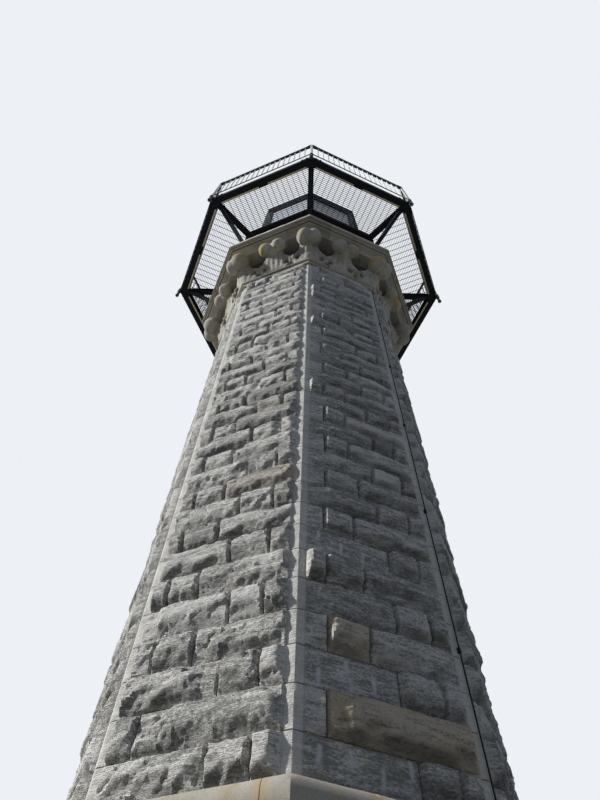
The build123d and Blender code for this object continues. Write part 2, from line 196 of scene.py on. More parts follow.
def blurred(heights: Array, passes: int) -> Array:
    """Replaces each height by the mean of itself and its four neighbours, several times.

    Args:
        heights: the heights, in rows and columns.
        passes: how many times.

    Returns:
        The smoothed heights.
    """
    for _ in range(passes):
        wide = np.pad(heights, 1, mode="edge")
        middle, below, above = wide[1:-1, 1:-1], wide[:-2, 1:-1], wide[2:, 1:-1]
        heights = (middle + below + above + wide[1:-1, :-2] + wide[1:-1, 2:]) / 5
    return heights


def hex_colour(code: str) -> tuple[float, float, float, float]:
    """Turns an sRGB hex code such as b7b4ab into linear red, green, blue and alpha.

    Args:
        code: the six digits.

    Returns:
        The four numbers.
    """
    parts = [int(code[place : place + 2], 16) / 255 for place in (0, 2, 4)]
    linear = [part / 12.92 if part <= 0.04045 else ((part + 0.055) / 1.055) ** 2.4 for part in parts]
    return (*linear, 1.0)


def add_node(
    tree: bpy.types.NodeTree, kind: str, sources: dict, output: str | int = 0, **settings: Any
) -> Socket | None:
    """Adds a node with its settings and links.

    Args:
        tree: the material's or world's node tree.
        kind: the node's type, without its ShaderNode prefix.
        sources: for each input, by name or number, a value, a colour's hex code or the socket that feeds it.
        output: the output that the caller wants.
        **settings: properties set on the node before its inputs.

    Returns:
        The wanted output socket, or nothing for the node that ends a tree.
    """
    node = tree.nodes.new(f"ShaderNode{kind}")
    for key, value in settings.items():
        setattr(node, key, value)
    for key, source in sources.items():
        if isinstance(source, Socket):
            tree.links.new(source, node.inputs[key])
        else:
            node.inputs[key].default_value = hex_colour(source) if isinstance(source, str) else source
    return node.outputs[output] if node.outputs else None


def new_material(name: str) -> tuple[bpy.types.Material, AddNode]:
    """Makes an empty node material.

    Args:
        name: the material's name.

    Returns:
        The material, and add_node tied to its tree.
    """
    material = bpy.data.materials.new(name)
    material.use_nodes = True
    material.node_tree.nodes.clear()
    return material, partial(add_node, material.node_tree)


@dataclass(frozen=True)
class StoneFinish:
    """Stone or mortar: layers, blotches and grain of two shades, with painted shade that darkens the hollows.

    Sizes are in millimetres. The mesh gives each stone its own tint and warmth, how much painted shade
    lies in its hollows, the lime that ran down it, and a draft of 1 where the mason has tooled it flat.
    """

    name: str
    light: str
    dark: str
    # painted_shade is the colour of the painted shade in hollows, joints and undercuts
    warm: str
    painted_shade: str
    dressed: str
    grain_mm: float
    layer_mm: float
    tooling_mm: float
    roughness: float
    bump_mm: float
    layer_share: float = 0.7
    blotch_share: float = 0.8
    grain_share: float = 0.9
    stretch: float = 1.0
    contrast: float = 0.34
    warm_gain: float = 1.6
    warm_blend: str = "MIX"
    dressed_share: float = 0.75
    stain: str = "8d7a4e"
    stain_share: float = 0.0
    painted_shade_share: float = 0.75
    lime: str = "fdfdfb"
    chip_mm: float = 0.0
    chip_share: float = 1.5
    tooling_share: float = 0.06

    def material(self) -> bpy.types.Material:
        """Builds the material: layers, blotches and grain set the shade, and the same grain is its bump.

        Returns:
            The material.
        """
        material, add = new_material(self.name)
        place = add("TexCoord", {}, "Object")
        numbers = [add("Attribute", {}, "Fac", attribute_name=name) for name in STONE_NUMBERS]
        tint, warmth, hollow, draft, lime = numbers
        flat = add("Mapping", {"Vector": place, "Rotation": (0.05, 0.08, 0), "Scale": (1, 1, 7)})
        sizes = {"Scale": 150 / self.layer_mm, "Detail": 6.0, "Roughness": 0.65}
        layers = add("TexNoise", {"Vector": flat, **sizes})
        blotches = add("TexNoise", {"Vector": place, "Scale": 5.0, "Detail": 5.0, "Roughness": 0.6})
        squeezed = (1 / self.stretch, 1 / self.stretch, self.stretch)
        strokes = add("Mapping", {"Vector": place, "Rotation": (0.2, 0.3, 0), "Scale": squeezed})
        sizes = {"Scale": 1000 / self.grain_mm, "Detail": 3.0, "Roughness": 0.7}
        grain = add("TexNoise", {"Vector": strokes, **sizes})
        shade = tint
        shares = (self.layer_share, self.blotch_share, self.grain_share)
        for part, share in zip((layers, blotches, grain), shares):
            shade = add("Math", {0: part, 1: share, 2: shade}, operation="MULTIPLY_ADD")
        limits = {"From Min": sum(shares) / 2 - self.contrast, "From Max": sum(shares) / 2 + self.contrast}
        shade = add("MapRange", {"Value": shade, **limits}, "Result")
        colour = add("MixRGB", {"Fac": shade, "Color1": self.dark, "Color2": self.light})
        warm = add("Math", {0: warmth, 1: blotches}, operation="MULTIPLY")
        warm = add("Math", {0: warm, 1: self.warm_gain}, operation="MULTIPLY", use_clamp=True)
        warmed = {"Fac": warm, "Color1": colour, "Color2": self.warm}
        colour = add("MixRGB", warmed, blend_type=self.warm_blend)
        tooled = add("MixRGB", {"Fac": self.dressed_share, "Color1": colour, "Color2": self.dressed})
        coats = [(draft, tooled)]
        if self.stain_share > 0:
            runs = add("Mapping", {"Vector": place, "Scale": (7, 7, 1.2)})
            runs = add("TexNoise", {"Vector": runs, "Scale": 1.0, "Detail": 4.0, "Roughness": 0.7})
            limits = {"From Min": 0.55, "From Max": 0.75, "To Max": self.stain_share}
            coats.append((add("MapRange", {"Value": runs, **limits}, "Result"), self.stain))
        # Painted shade: the hollow number darkens the colour towards the painted shade colour
        painted_shade = add("Math", {0: hollow, 1: self.painted_shade_share}, operation="MULTIPLY", use_clamp=True)
        for share, over in (*coats, (painted_shade, self.painted_shade), (lime, self.lime)):
            colour = add("MixRGB", {"Fac": share, "Color1": colour, "Color2": over})
        sizes = {"Scale": 1000 / self.tooling_mm / 3, "Distortion": 1.5, "Detail": 2.0}
        lines = add("TexWave", {"Vector": place, **sizes}, "Fac", bands_direction="Z")
        lines = add("Math", {0: lines, 1: draft}, operation="MULTIPLY")
        rough = add("Math", {0: grain, 1: 1.0, 2: layers}, operation="MULTIPLY_ADD")
        if self.chip_mm > 0:
            sizes = {"Scale": 1000 / self.chip_mm, "Detail": 2.0, "Roughness": 0.6, "Randomness": 1.0}
            chips = add("TexVoronoi", {"Vector": flat, **sizes}, "Distance")
            broken = add("Math", {0: 1.0, 1: draft}, operation="SUBTRACT")
            chips = add("Math", {0: chips, 1: broken}, operation="MULTIPLY")
            rough = add("Math", {0: chips, 1: self.chip_share, 2: rough}, operation="MULTIPLY_ADD")
        height = add("Math", {0: lines, 1: self.tooling_share, 2: rough}, operation="MULTIPLY_ADD")
        depth = self.bump_mm * MILLIMETRE
        normal = add("Bump", {"Height": height, "Strength": 1.0, "Distance": depth}, "Normal")
        inputs = {"Base Color": colour, "Roughness": self.roughness, "Normal": normal}
        add("OutputMaterial", {"Surface": add("BsdfPrincipled", inputs)})
        return material


@dataclass(frozen=True)
class PaintFinish:
    """Brushed-on paint over steel or wood: an even coat that dulls in patches and wears to another colour."""

    name: str
    coat: str
    faded: str
    worn: str
    worn_share: float
    patch_mm: float
    roughness: float
    metallic: float = 0.0
    grain: tuple[float, float, float] = (1, 1, 1)
    gloss: float = 0.5

    def material(self) -> bpy.types.Material:
        """Builds the material: large dull patches, small worn spots and a faint brush-mark bump.

        Returns:
            The material.
        """
        material, add = new_material(self.name)
        place = add("TexCoord", {}, "Object")
        sizes = {"Scale": 1000 / self.patch_mm, "Detail": 4.0, "Roughness": 0.6}
        patches = add("TexNoise", {"Vector": place, **sizes})
        sizes = {"Scale": 5000 / self.patch_mm, "Detail": 6.0, "Roughness": 0.75}
        spots = add("TexNoise", {"Vector": place, **sizes})
        limits = {"From Min": 0.62 - 0.2 * self.worn_share, "From Max": 0.7, "To Max": 0.9}
        spots = add("MapRange", {"Value": spots, **limits}, "Result")
        colour = add("MixRGB", {"Fac": patches, "Color1": self.coat, "Color2": self.faded})
        colour = add("MixRGB", {"Fac": spots, "Color1": colour, "Color2": self.worn})
        brushed = add("Mapping", {"Vector": place, "Scale": self.grain})
        brushed = add("TexNoise", {"Vector": brushed, "Scale": 180.0, "Detail": 3.0})
        height = add("Math", {0: spots, 1: -0.5, 2: brushed}, operation="MULTIPLY_ADD")
        limits = {"To Min": self.roughness - 0.08, "To Max": self.roughness + 0.12}
        relief = {"Height": height, "Strength": 0.4, "Distance": 0.8 * MILLIMETRE}
        inputs = {
            "Base Color": colour,
            "Roughness": add("MapRange", {"Value": patches, **limits}, "Result"),
            "Metallic": self.metallic,
            "Specular IOR Level": self.gloss,
            "Normal": add("Bump", relief, "Normal"),
        }
        add("OutputMaterial", {"Surface": add("BsdfPrincipled", inputs)})
        return material


@dataclass(frozen=True)
class GlazingFinish:
    """Obscured float glass: dark panes that blur what lies behind, with a whitish painted reflection on one
    side.
    """

    name: str
    # tint is a dark slate blue that is partly a painted reflection of blue sky
    tint: str
    # painted_reflection is the whitish colour of the painted reflection on the panes of one side
    painted_reflection: str
    roughness: float
    clear: float
    reflecting_side: tuple[float, float, float]

    def material(self) -> bpy.types.Material:
        """Builds the material: a tint under a whitish painted reflection, which lies in cloud-shaped patches
        and only on the panes of one side.

        Returns:
            The material.
        """
        material, add = new_material(self.name)
        place = add("TexCoord", {}, "Object")
        # Painted reflection: a whitish film in cloud-shaped patches, only on the panes that lie towards one
        # side
        reflection_patches = add("TexNoise", {"Vector": place, "Scale": 3.5, "Detail": 5.0, "Roughness": 0.65})
        facing = add("VectorMath", {0: place, 1: self.reflecting_side}, "Value", operation="DOT_PRODUCT")
        facing = add("MapRange", {"Value": facing, "From Min": 1.1, "From Max": 1.16}, "Result")
        reflection_share = add("MapRange", {"Value": reflection_patches, "To Min": 0.6}, "Result")
        reflection_share = add("Math", {0: reflection_share, 1: facing}, operation="MULTIPLY")
        limits = {"To Min": self.clear, "To Max": 0.3 * self.clear}
        ripple = add("TexNoise", {"Vector": place, "Scale": 45.0, "Detail": 2.0})
        inputs = {
            "Base Color": add("MixRGB", {"Fac": reflection_share, "Color1": self.tint, "Color2": self.painted_reflection}),
            "Roughness": self.roughness,
            "Transmission Weight": add("MapRange", {"Value": reflection_share, **limits}, "Result"),
            "IOR": 1.5,
            "Normal": add("Bump", {"Height": ripple, "Strength": 0.2, "Distance": MILLIMETRE}, "Normal"),
        }
        add("OutputMaterial", {"Surface": add("BsdfPrincipled", inputs)})
        return material


class Finish(Enum):
    """Every finish on the tower, by its plain name."""

    # Split gneiss: a silver grey with layers and sparkling grain, so each broken facet catches light
    ROCK = StoneFinish(
        "quarry_faced_gneiss", "fffbf1", "a19f97", "ead9c0", "292a2a", "bebbb2",
        grain_mm=14, layer_mm=26, tooling_mm=12, roughness=0.9, bump_mm=9, chip_mm=34, painted_shade_share=0.7,
        layer_share=2.7, grain_share=2.4, contrast=0.36, stretch=1.5, warm_blend="MULTIPLY",
    )
    # Tooled granite: paler and smoother than the rock face, with a fine pepper of dark grains
    DRESSED = StoneFinish(
        "tooled_granite", "aca697", "6c6658", "a08a64", "5c5239", "a19a8c",
        grain_mm=8, layer_mm=60, tooling_mm=14, roughness=0.85, bump_mm=2.6, layer_share=0.3,
        stain="8f7a48", stain_share=0.6,
    )
    # Weathered limestone: cream grey rounded by rain, with ochre lichen, and painted shade in the undercuts
    CARVED = StoneFinish(
        "weathered_limestone", "c4bfae", "77736a", "a58f57", "282723", "bab4a3",
        grain_mm=11, layer_mm=90, tooling_mm=16, roughness=0.9, bump_mm=4, layer_share=0.35,
        painted_shade_share=0.95, stain="8c7a3c", stain_share=0.8,
    )
    # Lime mortar: sunk in the joints, dark with damp
    MORTAR = StoneFinish(
        "damp_lime_mortar", "6b675e", "3a3833", "857445", "262521", "6b675e",
        grain_mm=6, layer_mm=80, tooling_mm=20, roughness=0.95, bump_mm=1.5,
    )
    # Black paint on rolled steel: soft gloss that has gone chalky, with rust at the chips
    BLACK_STEEL = PaintFinish("black_painted_steel", "15171b", "22262b", "3f2f24", 0.2, 180, 0.65, gloss=0.08)
    # Galvanised bar grating under a dark coat: greyer and duller than the beams
    GRATING = PaintFinish("coated_bar_grating", "1f2329", "30353c", "54463a", 0.25, 90, 0.6, gloss=0.15)
    # Rail paint rubbed by hands and weather: charcoal that wears to pale metal
    RAIL = PaintFinish("rubbed_rail_paint", "222529", "393c40", "8f8a80", 0.3, 70, 0.55, gloss=0.3)
    # Galvanised tube and flat bar: a pale, dull zinc coat that catches the sun along each post
    ZINC = PaintFinish(
        "weathered_galvanised_steel", "8d8f8c", "b3b3ac", "7b6a55", 0.3, 60, 0.5, metallic=0.35
    )
    # Bare tan strips: primer that the sun has bleached
    STRIP = PaintFinish("bleached_primer", "cfc5a6", "e6dcbe", "8f8264", 0.25, 120, 0.8, gloss=0.2)
    # Painted boards: the grain runs upwards and shows through a flat dark coat
    BOARDS = PaintFinish(
        "painted_oak_boards", "31392f", "434c3f", "6f6a55", 0.35, 140, 0.65, grain=(1, 1, 0.06)
    )
    # Obscured glass: slate blue, partly a painted reflection of blue sky, with a whitish painted reflection
    # on the front panes
    PANE = GlazingFinish("obscured_glass", "1d3355", "cfd6da", 0.35, 0.15, (0.0, -1.0, 0.0))

    def dress(self) -> bpy.types.Material:
        """Returns this finish's material, which is made once."""
        found = bpy.data.materials.get(self.value.name)
        return found or self.value.material()


# The record's material slot for each finish that a CAD node wears
SLOTS = {
    Finish.ROCK: "rock_faced_stone",
    Finish.DRESSED: "dressed_stone",
    Finish.CARVED: "carved_stone",
    Finish.BOARDS: "painted_wood",
    Finish.BLACK_STEEL: "dark_steel",
    Finish.GRATING: "grating_steel",
    Finish.RAIL: "rail_steel",
    Finish.ZINC: "galvanised_steel",
    Finish.STRIP: "pale_strip",
    Finish.PANE: "frosted_glass",
}

STEEL = (Finish.BLACK_STEEL,)


@dataclass
class Surface:
    """Grids of points that are gathered into one mesh, with named numbers at every point of a stone piece.
    """

    name: str
    finishes: Sequence[Finish]
    slot: str = ""
    points: list[Array] = field(default_factory=list)
    quads: list[Array] = field(default_factory=list)
    finish_of: list[Array] = field(default_factory=list)
    numbers: dict[str, list[Array]] = field(default_factory=dict)
    count: int = 0

    def __post_init__(self) -> None:
        """Makes a list for each number that the stone finishes read."""
        if isinstance(self.finishes[0].value, StoneFinish):
            self.numbers = {name: [] for name in STONE_NUMBERS}

    def add_faces(
        self, points: Array, quads: Array, finish: Finish | None = None, **numbers: Array | float
    ) -> None:
        """Adds points and the four-sided faces between them.

        Args:
            points: a list of points.
            quads: for each face the places of its corners in that list, anticlockwise from outside.
            finish: one of the surface's finishes, or the first.
            **numbers: a value or a list of values for the named numbers.
        """
        self.points.append(points)
        self.quads.append(quads + self.count)
        self.finish_of.append(np.full(len(quads), self.finishes.index(finish) if finish else 0))
        for name, values in self.numbers.items():
            values.append(np.broadcast_to(numbers.get(name, 0.0), len(points)))
        self.count += len(points)

    def add_grid(
        self, grid: Array, finish: Finish | None = None, *, wrap_along: bool = True, wrap_up: bool = False,
        **numbers: Array | float,
    ) -> None:
        """Adds a grid of points and the four-sided faces between them.

        Args:
            grid: points in rows that go up and columns that go along, seen from outside.
            finish: one of the surface's finishes, or the first.
            wrap_along: whether the last column joins the first.
            wrap_up: whether the last row joins the first.
            **numbers: a value or a grid of values for the named numbers.
        """
        rows, columns = grid.shape[:2]
        order = np.arange(rows * columns).reshape(rows, columns)
        if wrap_along:
            order = np.concatenate([order, order[:, :1]], axis=1)
        if wrap_up:
            order = np.concatenate([order, order[:1]], axis=0)
        faces = np.stack([order[:-1, :-1], order[:-1, 1:], order[1:, 1:], order[1:, :-1]], axis=-1)
        flat = {name: np.broadcast_to(value, (rows, columns)).reshape(-1) for name, value in numbers.items()}
        self.add_faces(grid.reshape(-1, 3), faces.reshape(-1, 4), finish, **flat)

    def add_block(
        self, side: Side, plan: Sequence, foot: float, head: float, finish: Finish | None = None,
        **numbers: float,
    ) -> None:
        """Adds a closed upright block, whose rings at the foot and the head shrink to the plan's middle.

        Args:
            side: the side that the plan lies on.
            plan: pairs of distance along and distance out, from the outer left corner rightwards.
            foot: the lowest height.
            head: the highest height.
            finish: one of the surface's finishes, or the first.
            **numbers: a value for each of the named numbers.
        """
        corners = np.array(plan, dtype=float)
        middle = (corners.min(axis=0) + corners.max(axis=0)) / 2
        rings = [
            side.place(*(middle + share * (corners - middle)).T, height)
            for height, share in ((foot, 0), (foot, 1), (head, 1), (head, 0))
        ]
        self.add_grid(np.stack(rings), finish, **numbers)

    def add_bar(
        self, start: Array, end: Array, across: Array, above: Array, finish: Finish | None = None
    ) -> None:
        """Adds a closed four-sided bar from one point to another.

        Each ring is the end point plus or minus the two half sizes, and the outer rings shrink to the
        point. Where the sizes would turn the bar inside out, the first one is reversed.

        Args:
            start: where the bar starts.
            end: where it ends.
            across: half its width, as a vector.
            above: half its height, as a vector.
            finish: one of the surface's finishes, or the first.
        """
        if np.dot(np.cross(end - start, across), above) < 0:
            across = -across
        ring = np.stack([-across - above, across - above, across + above, -across + above])
        self.add_grid(np.stack([start + 0 * ring, start + ring, end + ring, end + 0 * ring]), finish)

    def add_rod(self, start: Array, end: Array, radius: float, around: int = 6, rim: float = 0.0) -> None:
        """Adds a closed round or many-sided rod between two points.

        Its rings are circles square to the line, and the first and last have no radius. The rim at the
        far end is cut back by the same distance along and across the line.

        Args:
            start: where the rod starts.
            end: where it ends.
            radius: half its width.
            around: how many sides it has.
            rim: how far the edge at the far end is cut back.
        """
        ahead = (end - start) / np.linalg.norm(end - start)
        first = np.cross(ahead, (1.0, 0.0, 0.0) if abs(ahead[2]) > 0.9 else (0.0, 0.0, 1.0))
        first /= np.linalg.norm(first)
        second = np.cross(ahead, first)
        turns = full_turn(around)[:, None]
        ring = first * np.cos(turns) + second * np.sin(turns)
        rings = [start + 0 * ring, start + radius * ring, end + (radius - rim) * ring, end + 0 * ring]
        if rim:
            rings.insert(2, end - ahead * rim + radius * ring)
        self.add_grid(np.stack(rings))

    def add_turned(self, middle: Array, profile: Sequence[tuple[float, float]], finish: Finish) -> None:
        """Adds a closed turned form on an upright axis: a circle for each radius and height in the profile.

        Args:
            middle: the axis's x and y.
            profile: radii and heights from the bottom up, with radius 0 at both ends.
            finish: one of the surface's finishes.
        """
        radii, heights = np.array(profile).T
        turns = full_turn(ROUND)
        across = radii[:, None] * np.stack([np.cos(turns), np.sin(turns)])[:, None]
        height = np.broadcast_to(heights[:, None], across.shape[1:])
        self.add_grid(np.stack([middle[0] + across[0], middle[1] + across[1], height], axis=-1), finish)

    def build(self, *replaced: str, crease: float = 40) -> bpy.types.Object:
        """Makes the mesh object, dresses it and puts it on the tower.

        Args:
            *replaced: CAD nodes that it stands for.
            crease: edges that turn by more degrees than this stay sharp.

        Returns:
            The new object.
        """
        mesh = bpy.data.meshes.new(self.name)
        points, quads = np.concatenate(self.points), np.concatenate(self.quads)
        mesh.vertices.add(len(points))
        mesh.vertices.foreach_set("co", points.astype(np.float32).ravel())
        mesh.loops.add(quads.size)
        mesh.loops.foreach_set("vertex_index", quads.astype(np.int32).ravel())
        mesh.polygons.add(len(quads))
        mesh.polygons.foreach_set("loop_start", np.arange(0, quads.size, 4, dtype=np.int32))
        mesh.polygons.foreach_set("material_index", np.concatenate(self.finish_of).astype(np.int32))
        for name, parts in self.numbers.items():
            attribute = mesh.attributes.new(name, "FLOAT", "POINT")
            attribute.data.foreach_set("value", np.concatenate(parts).astype(np.float32))
        for finish in self.finishes:
            mesh.materials.append(finish.dress())
        mesh.update(calc_edges=True)
        mesh.validate()
        mesh.polygons.foreach_set("use_smooth", np.ones(len(mesh.polygons), dtype=bool))
        mesh.set_sharp_from_angle(angle=math.radians(crease))
        piece = bpy.data.objects.new(mesh.name, mesh)
        bpy.context.scene.collection.objects.link(piece)
        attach(piece, BODY)
        self.slot or SLOTS[self.finishes[0]]
        if replaced:
            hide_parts(*replaced)
        return piece


def apothem_of(node: str) -> float:
    """Distance from the axis to the front side of an octagonal CAD node."""
    return -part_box(node)[0].y


def arris_apothem(node: str) -> float:
    """Distance from the axis to a wall's flat face, from half the wall's width between its corners."""
    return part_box(node)[1].x / SIDE_SLOPE


def broken_facets(points: Array, size: float, tilt: float, seed: int) -> Array:
    """Small flat breaks side by side, each leaning its own way.

    The plane is cut into cells round one random point in each square, and a cell's height is the
    distance from its point times the cell's own random slope, plus a random step.

    Args:
        points: places in metres, with two coordinates on the last axis.
        size: the breaks' width in metres.
        tilt: the steepest slope, as height over distance.
        seed: picks another pattern.

    Returns:
        Heights in metres, about zero on average.
    """
    scatter, step_height = 0.42, 0.2
    place = points / size
    base = np.floor(place).astype(np.int64)
    nearest = np.full(points.shape[:-1], np.inf)
    height = np.zeros(points.shape[:-1])
    for step in np.ndindex(3, 3):
        cell = base + np.array(step) - 1
        values = [lattice_value(cell, seed + part) for part in range(5)]
        away = place - (cell + 0.5 + scatter * np.stack(values[:2], axis=-1))
        distance = (away**2).sum(axis=-1)
        lean = away[..., 0] * values[2] + away[..., 1] * values[3]
        here = tilt * size * (lean + step_height * values[4])
        height = np.where(distance < nearest, here, height)
        nearest = np.minimum(nearest, distance)
    return height


@dataclass(frozen=True)
class RockFace:
    """How a stone's face is broken off: broad flat breaks over a scalloped, undercut foot."""

    peak: float = 0.06
    edge: float = 0.005
    edge_slope: float = 3.4
    chips: int = 2
    crooked: float = 0.02
    scallop_slant: float = 0.9
    wide_scallop: float = 0.13
    wide_share: float = 0.42
    narrow_scallop: float = 0.045
    narrow_share: float = 0.12
    floor_share: float = 0.3
    end_break: float = 0.5
    coarse_break: float = 0.13
    coarse_tilt: float = 0.08
    fine_break: float = 0.034
    fine_tilt: float = 0.15
    roughness: float = 0.004
    grit: float = 0.028
    layering: float = 0.0085
    ledge: float = 0.05
    ledge_stretch: float = 0.16
    ramp_waver: float = 0.45

    def relief(
        self, along: Array, up: Array, width: float, height: float, seed: int, tapers: tuple[float, float]
    ) -> Array:
        """Works out how far the stone stands out at each point of its face.

        A ridge wanders in slanting scallops across the lower part of the stone. From it the height falls
        gently to the top edge and steeply to the bottom edge. Some stones have a broad break that falls
        to one end. Tilted planes cut off chips: the lower of plane and face is taken, down to a share of
        the peak, and noise makes their borders crooked. Small breaks in two sizes, layered noise and
        long level ledges are added. Ramps bound it all at the edges: the face is never higher than the
        distance from the nearest edge times their slope.

        Args:
            along: distance from the stone's left end, as a grid.
            up: height above its bed, as a grid.
            width: the stone's width.
            height: the stone's height.
            seed: picks another break.
            tapers: shares of the ramps' slope at the left and the right end.

        Returns:
            The height of the face above the wall's plane.
        """
        chance = np.random.default_rng(seed)
        place = np.stack([along + chance.uniform(0, 40), up + chance.uniform(0, 40)], axis=-1)
        share = along / width - 0.5
        bent = self.crooked * layered_noise(place, 0.07, 3, seed + 2)
        slanted = place[..., :1] - self.scallop_slant * place[..., 1:] + 2 * bent[..., None]
        scallops = np.abs(smooth_noise(slanted / self.wide_scallop, seed)) * self.wide_share
        scallops += np.abs(smooth_noise(slanted / self.narrow_scallop, seed + 9)) * self.narrow_share
        level, lean = chance.uniform(0.18, 0.48), chance.uniform(-0.5, 0.3)
        ridge = height * np.clip(level + lean * share + scallops, 0.1, 0.85)
        peak = self.peak * chance.uniform(0.65, 1.15) * (1 + 0.2 * smooth_noise(place / 0.3, seed + 1))
        above = np.clip((up - ridge) / (height - ridge), 0, 1)
        below = np.clip((ridge - up) / ridge, 0, 1)
        upper = peak * (1 - above * chance.uniform(0.0, 0.4))
        lower = self.edge + (peak - self.edge) * (1 - below) ** chance.uniform(0.6, 0.9)
        face = np.where(up > ridge, upper, lower)
        if chance.random() < self.end_break:
            slope = math.tan(math.radians(chance.uniform(18, 38)))
            start = chance.uniform(0.05, 0.3) * width
            distance = (width - along if chance.random() < 0.7 else along) - start
            face = np.minimum(face, peak + (distance + 0.35 * (up - height / 2) + 2 * bent) * slope)
        for _ in range(self.chips):
            angle = chance.uniform(0, 2 * math.pi)
            slope = math.tan(math.radians(chance.uniform(12, 40)))
            reach = chance.uniform(0.38, 0.54)
            start_along = width * (0.5 + reach * math.cos(angle))
            start_up = height * (0.5 + reach * math.sin(angle))
            distance = (start_along - along) * math.cos(angle) + (start_up - up) * math.sin(angle) + bent
            face = np.minimum(face, peak * chance.uniform(0.6, 1.0) + distance * slope)
        face = np.maximum(face, self.floor_share * peak * np.clip(up / 0.03, 0, 1))
        slant = chance.uniform(0.2, 1.2)
        cos, sin, squeeze = math.cos(slant), math.sin(slant), 1.7
        across, over = place[..., 0] * cos + place[..., 1] * sin, place[..., 1] * cos - place[..., 0] * sin
        turned = np.stack([across, over * squeeze], axis=-1) + 0.3 * bent[..., None]
        face = face + broken_facets(turned, self.coarse_break, self.coarse_tilt, seed + 5)
        face = face + broken_facets(turned, self.fine_break, self.fine_tilt, seed + 7)
        face = face + self.roughness * layered_noise(turned, self.grit, 2, seed + 3)
        strata = place * np.array([self.ledge_stretch, 1.0]) + 0.25 * bent[..., None]
        face = face + self.layering * layered_noise(strata, self.ledge, 3, seed + 11)
        pitch = 1 + self.ramp_waver * smooth_noise(place / self.ledge, seed + 4)
        rim = np.minimum.reduce([along * tapers[0], (width - along) * tapers[1], up, height - up])
        return np.maximum(np.minimum(face, self.edge + rim * self.edge_slope * pitch), 0.3 * self.edge)


@dataclass(frozen=True)
class StoneTouch:
    """What sets one stone apart: its colour, how far it stands out, and lime that ran down it."""

    warmth: float = 0.0
    tint: float = 0.0
    rise: float = 1.0
    lime: bool = False


# On the shaded front-right side, by course and place in it: stones with lime runs, and two of tan gneiss
SHADED_STONES = {
    (0, 0): StoneTouch(tint=-0.12, rise=0.35, lime=True),
    (1, 1): StoneTouch(warmth=1.0, tint=0.3, rise=1.35),
    (2, 0): StoneTouch(tint=-0.12, rise=0.35, lime=True),
    (3, 1): StoneTouch(warmth=0.9, tint=0.3),
    (6, 0): StoneTouch(tint=-0.08, rise=0.4, lime=True),
}


